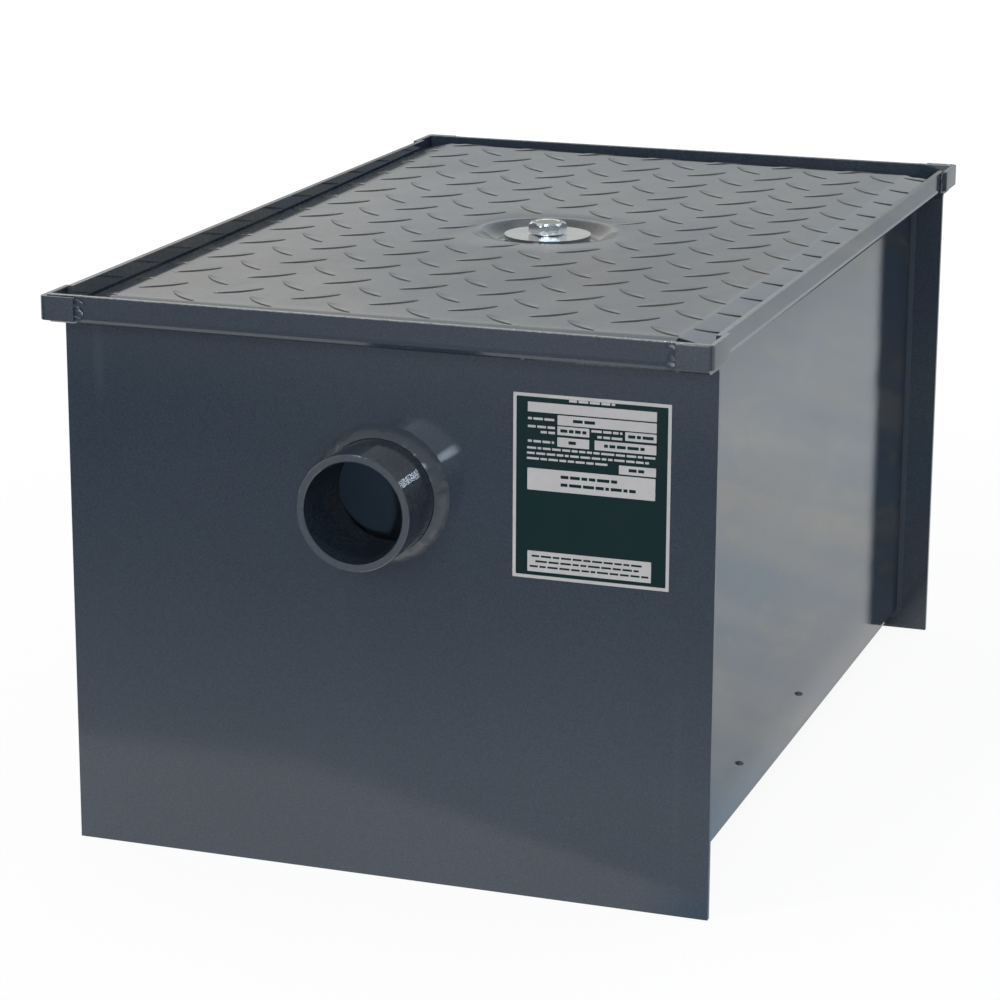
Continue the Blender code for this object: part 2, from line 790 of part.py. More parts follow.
def build_bar():
    """Flat bar from wall to wall, under the cover, that the nut is welded to."""
    reach = WALL_IN - CLEAR
    half = BAR_WIDTH / 2
    outline = [(-reach, -half), (reach, -half), (reach, half), (-reach, half)]
    mesh = flat_outline("hold_down_bar", [outline, circle(BOLT_HOLE, 24)], BAR_THICKNESS)
    bar = add_object("hold_down_bar", mesh)
    bar.location = (0, 0, BAR_TOP - BAR_THICKNESS / 2)
    finish(bar, painted("hold_down_bar"))


# Baffles.


def build_baffle(name, side):
    """Lift-out baffle that stands on two feet, with a slot at the floor for the flow."""
    foot = FLOOR_TOP + CLEAR
    slot = BAFFLE_SLOT_WIDTH / 2
    slot_top = FLOOR_TOP + BAFFLE_SLOT_HEIGHT
    outline = [
        (-BAFFLE_EDGE, BAFFLE_TOP),
        (-BAFFLE_EDGE, foot),
        (-slot, foot),
        (-slot, slot_top),
        (slot, slot_top),
        (slot, foot),
        (BAFFLE_EDGE, foot),
        (BAFFLE_EDGE, BAFFLE_TOP),
    ]
    hole = circle(BAFFLE_LIFT_HOLE / 2, 24, (0.0, BAFFLE_TOP - BAFFLE_HOLE_DROP))
    baffle = add_object(name, flat_outline(name, [outline, hole], BAFFLE_SHEET))
    baffle.rotation_euler = FACING_Y
    baffle.location = (0, side * BAFFLE_SPACING, 0)
    finish(baffle, painted(name))


def build_guide(name, side_x, side_y):
    """Upright channel on a side wall that holds one edge of a baffle."""
    half = GUIDE_HALF + GUIDE_SHEET
    back = side_x * GUIDE_BACK
    front = side_x * (GUIDE_BACK - GUIDE_DEPTH)
    path = [(front, -half), (back, -half), (back, half), (front, half)]
    if side_x < 0:
        path = path[::-1]
    section = folded_section(path, GUIDE_SHEET, GUIDE_BEND)
    bottom = FLOOR_TOP + GUIDE_LIFT
    guide = add_object(name, flat_outline(name, [section], GUIDE_TOP - bottom))
    guide.location = (0, side_y * BAFFLE_SPACING, (GUIDE_TOP + bottom) / 2)
    finish(guide, painted(name), smooth=True)


def build_weir():
    """Fixed low plate across the middle of the tank, its lower corners cut past the bends."""
    edge = WALL_IN - CLEAR
    foot = FLOOR_TOP + CLEAR
    cut = WEIR_CORNER
    outline = [
        (-edge, WEIR_TOP),
        (-edge, foot + cut),
        (-edge + cut, foot),
        (edge - cut, foot),
        (edge, foot + cut),
        (edge, WEIR_TOP),
    ]
    weir = add_object("centre_weir", flat_outline("centre_weir", [outline], SHEET))
    weir.rotation_euler = FACING_Y
    finish(weir, painted("centre_weir"))


def build_tank():
    build_tank_body()
    for end, side in (("inlet", -1), ("outlet", 1)):
        build_end_plate(f"{end}_end_plate", side)
        build_pipe(f"{end}_pipe", side)
        build_pipe_weld(f"{end}_pipe_weld", side)
        build_seam_weld(f"{end}_seam_weld", side)
        for hand, side_x in (("left", -1), ("right", 1)):
            build_corner_bracket(f"corner_bracket_{end}_{hand}", side_x, side)
            build_bracket_welds(f"bracket_weld_{end}_{hand}", side_x, side)


def build_inside():
    build_bar()
    build_nut()
    build_weir()
    for end, side in (("inlet", -1), ("outlet", 1)):
        build_baffle(f"{end}_baffle", side)
        for hand, side_x in (("left", -1), ("right", 1)):
            build_guide(f"{end}_baffle_guide_{hand}", side_x, side)


def build_closure():
    build_cover()
    build_gasket()
    build_washer("cover_washer", WASHER_DIAMETER / 2, WASHER_SHEET, WASHER_BASE, zinc_plated("cover_washer"))
    build_washer("seal_washer", SEAL_DIAMETER / 2, SEAL_THICKNESS, SEAL_BASE, black_rubber("seal_washer"))
    build_bolt()


build_tank()
build_inside()
build_closure()
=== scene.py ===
"""Dresses the grease trap's frame: enamel, weld beads, tread cover, bolt, label and studio.

Lengths are metres in the frame's own axes: X across the tank, the inlet at -Y, Z up.
"""

import math

import bmesh
import bpy
from bpy.props import FloatProperty, FloatVectorProperty, IntProperty, PointerProperty
from mathutils import Matrix, Vector, noise


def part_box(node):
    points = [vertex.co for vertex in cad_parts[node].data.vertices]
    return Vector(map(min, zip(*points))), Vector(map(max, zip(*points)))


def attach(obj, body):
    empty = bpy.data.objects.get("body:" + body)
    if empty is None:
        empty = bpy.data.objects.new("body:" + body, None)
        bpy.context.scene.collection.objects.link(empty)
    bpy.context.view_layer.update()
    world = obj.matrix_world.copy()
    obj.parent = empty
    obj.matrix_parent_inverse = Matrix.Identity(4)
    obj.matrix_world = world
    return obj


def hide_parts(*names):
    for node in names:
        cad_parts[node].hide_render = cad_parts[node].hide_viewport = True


bl_info = {
    "name": "Grease Trap Finish",
    "version": (1, 0, 0),
    "blender": (4, 5, 0),
    "location": "3D View > Sidebar > Grease Trap",
    "description": "Finishes a welded steel grease trap around its loaded frame",
    "category": "Object",
}

MM = 0.001
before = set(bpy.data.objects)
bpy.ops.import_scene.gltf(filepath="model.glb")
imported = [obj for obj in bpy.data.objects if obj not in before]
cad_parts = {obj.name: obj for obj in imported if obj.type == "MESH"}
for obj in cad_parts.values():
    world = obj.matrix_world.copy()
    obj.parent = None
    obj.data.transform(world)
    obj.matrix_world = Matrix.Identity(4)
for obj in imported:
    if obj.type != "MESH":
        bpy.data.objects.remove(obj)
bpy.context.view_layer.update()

# Places read from the frame.
PLATE_LOW, PLATE_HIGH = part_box("inlet_end_plate")
COVER_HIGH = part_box("cover")[1]
PIPE_LOW, PIPE_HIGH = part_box("inlet_pipe")
WASHER_LOW, WASHER_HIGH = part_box("cover_washer")
BOLT_LOW, BOLT_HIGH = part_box("cover_bolt")
RIM_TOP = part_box("tank_body")[1].z
PIPE_MIDDLE = (PIPE_LOW.z + PIPE_HIGH.z) / 2
PIPE_RADIUS = (PIPE_HIGH.z - PIPE_LOW.z) / 2
PLATE_FACE = 261.7 * MM
END_RIM = -PLATE_LOW.y
SIDE_RIM = PLATE_HIGH.x
WALL_FACE = 156.0 * MM
FLOOR_FACE = 9.5 * MM
FLANGE_UNDER = 286.0 * MM
SHEET = 3.0 * MM


# Looks and stage.
WHITE = (1.0, 1.0, 1.0)
PAINT_IOR = 1.60
BRACKET_IOR = 1.78
DULL_SPECULAR = 0.28
SPOT_REACH = 1.6
# Tints of the film with its painted sheen, of the dusty tone with painted shade on steep sides, and of the
# rim's crown with its wear and painted highlight.
WARM_FILM_SHEEN = (0.175, 0.155, 0.120)
COLD_FILM_SHEEN = (0.040, 0.080, 0.140)
DUST_AND_SHADE = (0.105, 0.094, 0.076)
WORN_STEEL_AND_HIGHLIGHT = (0.42, 0.44, 0.43)
COOL_CORNER = (0.21, -0.24, 0.0)
BAND_TURN = 0.61
CAMERA_TURN = (-15.18, 0.25, -19.22)  # Pitch, roll and yaw in degrees.
CAMERA_PLACE = (0.5803, -1.7453, 0.6361)
CAMERA_LENS = 117.36
LAMPS = (  # Name, place, size, power and tint.
    ("key_softbox", (1.0, -2.7, 0.84), 0.04, 12.0, (0.70, 0.84, 1.0)),
    ("front_softbox", (0.2, -3.1, 0.8), 2.2, 52.0, (0.96, 0.98, 1.0)),
    ("warm_softbox", (-0.47, -0.89, 2.4), 0.14, 6.0, (1.0, 0.92, 0.80)),
    ("top_softbox", (0.2, 0.6, 2.6), 1.8, 6.0, (1.0, 1.0, 1.0)),
)


# Node helpers.


class Nodes:
    """A node tree with short ways to add and join nodes."""

    def __init__(self, tree, coordinates):
        self.tree = tree
        self.place = tree.nodes.new("ShaderNodeTexCoord").outputs[coordinates]

    def add(self, kind, settings=None, **sockets):
        node = self.tree.nodes.new(kind)
        for key, value in (settings or {}).items():
            setattr(node, key, value)
        for key, value in sockets.items():
            self.set(node, key.replace("_", " "), value)
        return node

    def set(self, node, socket, value):
        target = node.inputs[int(socket)] if socket.isdigit() else node.inputs[socket]
        if isinstance(value, bpy.types.NodeSocket):
            self.tree.links.new(value, target)
        else:
            target.default_value = value

    def join(self, kind, *values, **settings):
        """Adds a node and fills its sockets in their order."""
        node = self.add(kind, settings)
        for index, value in enumerate(values):
            self.set(node, str(index), value)
        return node.outputs

    def math(self, operation, *values):
        return self.join("ShaderNodeMath", *values, operation=operation)[0]

    def times(self, product, *factors):
        for factor in factors:
            product = self.math("MULTIPLY", product, factor)
        return product

    def vector(self, operation, *values):
        return self.join("ShaderNodeVectorMath", *values, operation=operation)

    def axes(self, vector=None):
        """X, Y and Z of a vector, or else of the place."""
        return self.join("ShaderNodeSeparateXYZ", vector or self.place)

    def upward(self):
        """How far the true surface faces up."""
        return self.axes(self.add("ShaderNodeNewGeometry").outputs["True Normal"])["Z"]

    def stretch(self, scale, turn=(0.0, 0.0, 0.0)):
        node = self.add("ShaderNodeMapping", {"vector_type": "TEXTURE"}, Vector=self.place)
        node.inputs["Scale"].default_value = [1 / value for value in scale]
        node.inputs["Rotation"].default_value = turn
        return node.outputs["Vector"]

    def noise(self, scale, detail=3.0, roughness=0.5, vector=None, distortion=0.0):
        node = self.add(
            "ShaderNodeTexNoise",
            Vector=vector or self.place,
            Scale=scale,
            Detail=detail,
            Roughness=roughness,
            Distortion=distortion,
        )
        return node.outputs["Fac"]

    def range(self, value, low, high, out_low=0.0, out_high=1.0, smooth=False):
        kind = "SMOOTHSTEP" if smooth else "LINEAR"
        node = self.add("ShaderNodeMapRange", {"interpolation_type": kind}, Value=value)
        for socket, limit in zip(("From Min", "From Max", "To Min", "To Max"), (low, high, out_low, out_high)):
            self.set(node, socket, limit)
        return node.outputs["Result"]

    def blend(self, amount, first, second, mode="MIX"):
        node = self.add("ShaderNodeMix", {"data_type": "RGBA", "blend_type": mode})
        for socket, value in (("0", amount), ("6", first), ("7", second)):
            self.set(node, socket, (*value, 1.0) if isinstance(value, tuple) else value)
        return node.outputs[2]

    def bump(self, height, distance, strength=1.0, normal=None):
        node = self.add("ShaderNodeBump", Height=height, Distance=distance, Strength=strength)
        if normal is not None:
            self.set(node, "Normal", normal)
        return node.outputs["Normal"]


class Shader(Nodes):
    """The nodes of a new Principled material, placed by the object's coordinates."""

    def __init__(self, name):
        self.material = bpy.data.materials.new(name)
        self.material.use_nodes = True
        super().__init__(self.material.node_tree, "Object")
        self.base = self.tree.nodes["Principled BSDF"]

    def finish(self, colour, rough, normal, **constants):
        """Joins what varies, sets what is constant and returns the material."""
        for socket, value in (("Base Color", colour), ("Roughness", rough), ("Normal", normal)):
            self.set(self.base, socket, value)
        for socket, value in constants.items():
            self.base.inputs[socket.replace("_", " ")].default_value = value
        return self.material


def blob(shader, middle, size):
    """A soft spot that is 1 at a place and fades to 0 over an ellipsoid's radii."""
    offset = shader.vector("SUBTRACT", shader.place, middle)["Vector"]
    reach = shader.vector("LENGTH", shader.vector("DIVIDE", offset, size)["Vector"])["Value"]
    return shader.range(reach, 0.0, SPOT_REACH, 1.0, 0.0, smooth=True)


def haze_film(shader, colour, amount, shape, turn):
    """Cloudy film on the paint with painted sheen, here warmer and there bluer, and how much of it is warm."""
    drift = shader.noise(1.0, 4.0, 0.6, shader.stretch(shape, turn), 0.8)
    warm = shader.range(drift, 0.48, 0.60, 0.0, amount, smooth=True)
    cold = shader.range(drift, 0.52, 0.40, 0.0, amount, smooth=True)
    colour = shader.blend(warm, colour, WARM_FILM_SHEEN)
    colour = shader.blend(cold, colour, COLD_FILM_SHEEN)
    mottle = shader.range(shader.noise(480.0, 2.0), 0.35, 0.65, 0.80, 1.20)
    return shader.blend(1.0, colour, mottle, "MULTIPLY"), warm


def enamel(
    name, ripple=0.0, waves=(1.0, 1.0, 1.0), marks=(), smears=0.0, wet=0.11, film_sheen=None, wear_and_highlight=0.0, dust_and_shade=0.0
):
    """Gloss enamel on sheet steel.

    ripple is the height of its waves and waves their number per metre, wet its lowest
    roughness, film_sheen the amount, shape and turn of the film with its painted sheen,
    wear_and_highlight the pale crown of the rim, partly wear and partly a painted highlight,
    dust_and_shade the dusty tone and painted shade on steep sides, and marks are places
    with a size, height and tint.
    """
    settings = bpy.context.scene.trap_paint
    shader = Shader(name)
    deep = tuple(settings.colour)
    dusty = tuple(min(1.0, value * settings.dust_lift) for value in deep)
    specks = shader.range(shader.noise(1500.0, 2.0, 0.6), 0.60, 0.72)
    colour = shader.blend(shader.range(shader.noise(7.0, 4.0, 0.55), 0.3, 0.7, 0.0, 0.30), deep, dusty)
    grain = shader.noise(1900.0, 1.0)
    flecks = shader.range(grain, 0.36, 0.64, 1.0 - settings.grain / 2, 1.0 + settings.grain / 2)
    colour = shader.blend(1.0, colour, flecks, "MULTIPLY")
    colour = shader.blend(shader.times(specks, 0.30), colour, dusty)
    rough = shader.range(shader.noise(38.0, 5.0, 0.6), 0.25, 0.75, wet, 1.6 * wet)
    rough = shader.math("ADD", rough, shader.times(specks, 0.6 * wet))
    # A cloudy film with painted sheen: warm and blue patches that stand for the paint's varying reflections.
    if film_sheen:
        colour, film = haze_film(shader, colour, *film_sheen)
        rough = shader.math("ADD", rough, shader.times(film, 0.03))
    if smears:
        wiped = shader.noise(9.0, 4.0, 0.6, shader.stretch((1.0, 0.35, 2.2), (0.6, 0.0, 0.0)), 1.2)
        film = shader.range(wiped, 0.5, 0.75, 0.0, smears, smooth=True)
        colour = shader.blend(film, colour, (0.30, 0.32, 0.34))
        rough = shader.math("ADD", rough, shader.times(film, 0.5))
    # Steep sides take a warm tone: partly dusty, partly painted shade for the lugs' dark front edges.
    if dust_and_shade:
        colour = shader.blend(shader.range(shader.upward(), 0.92, 0.60, 0.0, dust_and_shade), colour, DUST_AND_SHADE)
    # The rim's crown is painted pale in patches: partly real wear, partly a painted highlight along its top
    # edge.
    if wear_and_highlight:
        crown = shader.range(shader.axes()["Z"], RIM_TOP - 0.5 * MM, RIM_TOP - 0.1 * MM)
        paler_patches = shader.range(shader.noise(420.0, 3.0, 0.65), 0.40, 0.58, 0.25, 1.0)
        colour = shader.blend(shader.times(crown, paler_patches, wear_and_highlight), colour, WORN_STEEL_AND_HIGHLIGHT)
    normal = None
    if ripple:
        normal = shader.bump(shader.noise(1.0, 2.0, 0.4, shader.stretch(waves), 0.6), ripple)
    for middle, size, height, tint in marks:
        spot = blob(shader, middle, size)
        if height:
            normal = shader.bump(spot, height, normal=normal)
        colour = shader.blend(shader.times(spot, tint[3]), colour, tint[:3])
    normal = shader.bump(shader.noise(330.0, 3.0, 0.55), settings.peel * MM, normal=normal)
    normal = shader.bump(grain, settings.grain_height * MM, normal=normal)
    return shader.finish(colour, rough, normal, IOR=PAINT_IOR)


def primer(name):
    """Pale primer inside the tank, thin in places."""
    shader = Shader(name)
    patch = shader.range(shader.noise(22.0, 5.0, 0.6), 0.3, 0.7)
    return shader.finish(
        shader.blend(patch, (0.065, 0.100, 0.140), (0.085, 0.120, 0.160)),
        shader.range(shader.noise(600.0), 0.3, 0.7, 0.5, 0.7),
        shader.bump(shader.noise(420.0), 0.05 * MM),
    )


def zinc(name, tint, turned=False, top_shade=None):
    """Bright zinc plating with fine scratches, circular ones on a turned or stamped face."""
    shader = Shader(name)
    if turned:
        x, y, z = shader.axes()
        radius = shader.math("SQRT", shader.math("MULTIPLY_ADD", y, y, shader.times(x, x)))
        lines = shader.noise(1800.0, 2.0, vector=shader.join("ShaderNodeCombineXYZ", radius, 0.0, z)[0])
    else:
        lines = shader.noise(900.0, 2.0, vector=shader.stretch((1.0, 1.0, 5.0)))
    stain = shader.range(shader.noise(120.0, 4.0, 0.6), 0.4, 0.7)
    colour = shader.blend(stain, tint, tuple(value * 0.88 for value in tint))
    # Painted shade: faces that look up, the top of the head, are painted a darker olive.
    if top_shade:
        colour = shader.blend(shader.range(shader.upward(), 0.90, 0.98), colour, top_shade)
    rough = shader.range(lines, 0.3, 0.7, 0.16, 0.24)
    return shader.finish(colour, rough, shader.bump(lines, 0.0015 * MM), Metallic=1.0)


def bare_metal(name):
    """Chipped spatter, bright steel under broken paint."""
    shader = Shader(name)
    patch = shader.range(shader.noise(1400.0, 3.0, 0.6), 0.35, 0.6)
    colour = shader.blend(patch, (0.72, 0.68, 0.58), (0.30, 0.31, 0.32))
    rough = shader.range(patch, 0.0, 1.0, 0.18, 0.40)
    return shader.finish(colour, rough, shader.bump(patch, 0.05 * MM), Metallic=0.85)


def rubber(name):
    """Black sheet rubber with a matt bloom."""
    shader = Shader(name)
    grain = shader.noise(700.0, 4.0, 0.6)
    bloom = shader.range(shader.noise(40.0, 4.0, 0.6), 0.35, 0.75)
    colour = shader.blend(bloom, (0.012, 0.012, 0.013), (0.035, 0.035, 0.037))
    rough = shader.range(grain, 0.3, 0.7, 0.5, 0.75)
    return shader.finish(colour, rough, shader.bump(grain, 0.05 * MM))


def printed(name, colour, wet=0.22):
    """Printed film of the label, faintly uneven."""
    shader = Shader(name)
    patch = shader.noise(60.0, 4.0, 0.6)
    shade = tuple(value * 0.86 for value in colour)
    return shader.finish(
        shader.blend(shader.range(patch, 0.3, 0.75), colour, shade),
        shader.range(patch, 0.3, 0.7, wet, wet + 0.1),
        shader.bump(shader.noise(350.0), 0.02 * MM),
        Specular_IOR_Level=DULL_SPECULAR,
    )


# Mesh helpers.


def place_piece(name, shape, *coats, smooth=35.0, body="tank", slot="painted_steel"):
    """Writes a bmesh to a new piece, faces outward, and rides it on its body."""
    bmesh.ops.recalc_face_normals(shape, faces=shape.faces)
    mesh = bpy.data.meshes.new(name)
    shape.to_mesh(mesh)
    shape.free()
    for coat in coats:
        mesh.materials.append(coat)
    if smooth:
        mesh.shade_smooth()
        mesh.set_sharp_from_angle(angle=math.radians(smooth))
    piece = bpy.data.objects.new(name, mesh)
    bpy.context.scene.collection.objects.link(piece)
    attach(piece, body)
    return piece


def dress(name, coat, ease, segments=2):
    """Gives a node of the frame its coat and eased edges."""
    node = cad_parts[name]
    node.data.materials.clear()
    node.data.materials.append(coat)
    add_bevel(node, ease, segments)


def skin_rings(shape, rings, closed_along=False, cap=True):
    """Joins equal closed rings of points with faces."""
    rows = [[shape.verts.new(point) for point in ring] for ring in rings]
    count = len(rows[0])
    for index in range(len(rows) if closed_along else len(rows) - 1):
        here = rows[index]
        there = rows[(index + 1) % len(rows)]
        for corner in range(count):
            after = (corner + 1) % count
            shape.faces.new((here[corner], here[after], there[after], there[corner]))
    if cap and not closed_along:
        shape.faces.new(rows[0][::-1])
        shape.faces.new(rows[-1])
    return rows


def add_ball(shape, middle, radii, subdivisions=3):
    """Adds an ellipsoid."""
    matrix = Matrix.Translation(middle) @ Matrix.Diagonal((*radii, 1.0))
    bmesh.ops.create_icosphere(shape, subdivisions=subdivisions, radius=1.0, matrix=matrix)


def add_bevel(piece, width, segments=2, angle=40.0):
    """Eases the sharp edges of a piece."""
    step = piece.modifiers.new("eased edges", "BEVEL")
    step.width = width
    step.segments = segments
    step.limit_method = "ANGLE"
    step.angle_limit = math.radians(angle)
    step.harden_normals = True


def bead_points(corner, along_a, along_b, leg_a, leg_b, swell, count):
    """Section of a fillet weld: the corner, then an arc that bulges from toe to toe."""
    toe_a = corner + along_a * leg_a
    toe_b = corner + along_b * leg_b
    points = [corner]
    for step in range(count):
        share = step / (count - 1)
        points.append(toe_a.lerp(toe_b, share) + (along_a + along_b) * math.sin(math.pi * share) * swell)
    return points


# Property groups.


class PaintSettings(bpy.types.PropertyGroup):
    """Colours and texture of the enamel."""

    colour: FloatVectorProperty(
        name="Colour", description="Enamel colour", subtype="COLOR", size=3, min=0, max=1,
        default=(0.0345, 0.0475, 0.0670),
    )
    dust_lift: FloatProperty(
        name="Dust", description="How much lighter dusty paint is", default=1.30, min=1, max=4
    )
    peel: FloatProperty(
        name="Orange peel", description="Height of the soft texture in millimetres", default=0.030, min=0
    )
    grain: FloatProperty(
        name="Grain", description="How much the fine grain varies the paint", default=0.50, min=0, max=2
    )
    grain_height: FloatProperty(
        name="Grain height", description="Height of the fine grain in millimetres", default=0.014, min=0
    )


class CoverSettings(bpy.types.PropertyGroup):
    """Sizes of the tread-plate cover."""

    pitch: FloatProperty(
        name="Lug pitch", description="Spacing of the lugs", subtype="DISTANCE", unit="LENGTH", default=0.043
    )
    lug_length: FloatProperty(
        name="Lug length", description="Length of one lug", subtype="DISTANCE", unit="LENGTH", default=0.0292
    )
    lug_width: FloatProperty(
        name="Lug width", description="Width of one lug", subtype="DISTANCE", unit="LENGTH", default=0.0058
    )
    lug_height: FloatProperty(
        name="Lug height", description="Height of one lug", subtype="DISTANCE", unit="LENGTH", default=0.00055
    )
    dish_radius: FloatProperty(
        name="Dish radius", description="Radius of the pressed dish", subtype="DISTANCE", unit="LENGTH",
        default=0.0405,
    )
    dish_depth: FloatProperty(
        name="Dish depth", description="Depth of the pressed dish", subtype="DISTANCE", unit="LENGTH",
        default=0.007,
    )
    sag: FloatProperty(
        name="Sag", description="How far the bolt pulls the sheet down", subtype="DISTANCE", unit="LENGTH",
        default=0.0014,
    )
    twist: FloatProperty(
        name="Twist", description="How much of the sheet's own twist shows", default=1.0, min=0
    )


class WeldSettings(bpy.types.PropertyGroup):
    """Look of the weld beads."""

    ring_leg: FloatProperty(
        name="Pipe bead", description="Leg of the pipe's fillet weld", subtype="DISTANCE", unit="LENGTH",
        default=0.0062,
    )
    seam_leg: FloatProperty(
        name="Seam bead", description="Leg of the seam's fillet weld", subtype="DISTANCE", unit="LENGTH",
        default=0.0030,
    )
    turns: IntProperty(name="Steps", description="Steps round the pipe's bead", default=180, min=24)


class LabelSettings(bpy.types.PropertyGroup):
    """Colours of the blank label."""

    ground: FloatVectorProperty(
        name="Ground", description="Label ground", subtype="COLOR", size=3, min=0, max=1,
        default=(0.0045, 0.0235, 0.0255),
    )
    field: FloatVectorProperty(
        name="Field", description="Label fields and border", subtype="COLOR", size=3, min=0, max=1,
        default=(0.60, 0.57, 0.56),
    )


# Sheet steel and what is welded from it.


# Y and Z of the two tacks on the wall, and each one's nubs: Y and Z from there, depth and
# radius, all in millimetres.
TACKS = ((-134.0, 38.8), (-4.0, 37.2))
TACK_NUBS = ((0.0, 0.0, 2.5, 1.25), (-1.5, 0.4, 1.35, 0.9), (1.3, -0.5, 0.8, 0.8))


class GREASETRAP_OT_sheet(bpy.types.Operator):
    """Gives the folded tank, its end plates and its inside pieces their enamel"""

    bl_idname = "greasetrap.sheet"
    bl_label = "Finish sheet steel"

    def execute(self, context):
        front_marks = [
            ((-0.1568, -PLATE_FACE, 0.262), (0.003, 0.004, 0.020), 0.0, (0.07, 0.09, 0.11, 0.35)),
            ((0.1575, -PLATE_FACE, 0.070), (0.002, 0.004, 0.060), 0.0, (0.05, 0.07, 0.09, 0.25)),
        ]
        wall_marks = [((WALL_FACE, -0.030, 0.021), (0.004, 0.012, 0.003), 0.0, (0.012, 0.014, 0.018, 0.85))]
        # Streaks of film with painted sheen along the wall.
        streaks = (0.34, (9.0, 7.0, 34.0), (-0.26, 0.0, 0.0))
        wall = enamel("wall_enamel", 0.5 * MM, (5.0, 4.0, 16.0), wall_marks, wet=0.030, film_sheen=streaks, wear_and_highlight=0.2)
        dress("tank_body", wall, 0.18 * MM)
        for end, marks in (("inlet", front_marks), ("outlet", ())):
            coat = enamel(f"{end}_plate_enamel", 0.5 * MM, (6.0, 6.0, 6.0), marks, wet=0.09, wear_and_highlight=0.5)
            dress(f"{end}_end_plate", coat, 0.35 * MM)
        inside = ["hold_down_bar", "centre_weir", "inlet_baffle", "outlet_baffle"]
        inside += [f"{end}_baffle_guide_{hand}" for end in ("inlet", "outlet") for hand in ("left", "right")]
        inner = primer("inner_primer")
        for name in inside:
            dress(name, inner, 0.35 * MM)
        # The tacks carry a strong film with painted sheen, which makes them paler.
        self.add_tacks(enamel("tack_enamel", film_sheen=(0.8, (520.0, 520.0, 520.0), (0.0, 0.0, 0.0))))
        return {"FINISHED"}

    def add_tacks(self, coat):
        """Short tack welds that show through the wall below the weir."""
        shape = bmesh.new()
        for y, z in TACKS:
            for ahead, above, depth, radius in TACK_NUBS:
                middle = Vector((WALL_FACE, (y + ahead) * MM, (z + above) * MM))
                add_ball(shape, middle, (depth * MM, radius * MM, radius * MM))
        place_piece("wall_tacks", shape, coat, smooth=60.0)


SCALLOPS = 23


def pipe_centre(y):
    return Vector((0.0, y, PIPE_MIDDLE))


class GREASETRAP_OT_pipes(bpy.types.Operator):
    """Gives the pipe stubs their enamel, thicker and glossier than on the sheet"""

    bl_idname = "greasetrap.pipes"
    bl_label = "Finish pipe stubs"

    def execute(self, context):
        # Painted light: the inlet mouth's end face is painted paler than the rest of the pipe.
        mouth = [(pipe_centre(PIPE_LOW.y), (0.060, 0.0008, 0.060), 0.0, (0.092, 0.106, 0.122, 0.8))]
        # A light film with painted sheen on the pipes.
        film = (0.10, (16.0, 16.0, 16.0), (0.0, 0.0, 0.0))
        coat = enamel("pipe_enamel", 0.05 * MM, (420.0, 420.0, 420.0), mouth, wet=0.07, film_sheen=film)
        for name in ("inlet_pipe", "outlet_pipe"):
            dress(name, coat, 0.3 * MM)
        return {"FINISHED"}


class GREASETRAP_OT_pipe_welds(bpy.types.Operator):
    """Lays the lumpy fillet weld round each pipe stub"""

    bl_idname = "greasetrap.pipe_welds"
    bl_label = "Lay pipe welds"

    def execute(self, context):
        settings = context.scene.trap_welds
        # Painted reflection: each bead is painted paler round its pipe, for the bright front that the fillet
        # mirrors.
        paler_patches = [
            (pipe_centre(side * PLATE_FACE), (0.080, 0.030, 0.080), 0.0, (0.080, 0.090, 0.104, 0.75))
            for side in (-1, 1)
        ]
        coat = enamel("weld_enamel", 0.30 * MM, (110.0, 110.0, 110.0), paler_patches, wet=0.10)
        for end, side in (("inlet", -1), ("outlet", 1)):
            away = Vector((0, side, 0))
            rings = []
            for step in range(settings.turns):
                turn = 2 * math.pi * step / settings.turns
                outward = Vector((math.cos(turn), 0, math.sin(turn)))
                corner = pipe_centre(side * PLATE_FACE) + outward * (PIPE_RADIUS + 0.2 * MM) + away * 0.1 * MM
                wander = noise.noise(outward * 2.1 + away * 3.0)
                lumps = noise.noise(outward * 9.0 + away * 7.0)
                scallop = 0.10 * MM * math.sin(turn * SCALLOPS + 2.0 * wander)
                leg = settings.ring_leg + 0.9 * MM * wander + 0.35 * MM * lumps + scallop
                reach = settings.ring_leg + 0.4 * MM * lumps - 0.5 * MM * wander + scallop
                swell = 0.45 * MM + 0.35 * MM * wander + 0.12 * MM * lumps + scallop
                rings.append(bead_points(corner, outward, away, leg, reach, swell, 9))
            shape = bmesh.new()
            skin_rings(shape, rings, closed_along=True)
            piece = place_piece(f"{end}_pipe_bead", shape, coat, smooth=50.0)
            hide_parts(f"{end}_pipe_weld")
        return {"FINISHED"}


def seam_route():
    """Places and outward directions down a wall, along the floor and up the other wall."""
    radius = 5.5 * MM
    top = FLANGE_UNDER - 3.0 * MM
    low = FLOOR_FACE + radius
    reach = WALL_FACE - radius
    step = 2.5 * MM
    rows = int((top - low) / step)
    half = []
    for index in range(rows + 1):
        half.append((Vector((-WALL_FACE, 0, top + (low - top) * index / rows)), Vector((-1, 0, 0))))
    for index in range(1, 7):
        angle = math.pi + math.pi / 2 * index / 7
        ray = Vector((math.cos(angle), 0, math.sin(angle)))
        half.append((Vector((-reach, 0, low)) + ray * radius, ray))
    floor = []
    columns = int(2 * reach / step)
    for index in range(columns + 1):
        floor.append((Vector((-reach + 2 * reach * index / columns, 0, FLOOR_FACE)), Vector((0, 0, -1))))
    other = [(Vector((-place.x, 0, place.z)), Vector((-ray.x, 0, ray.z))) for place, ray in half[::-1]]
    return half + floor + other


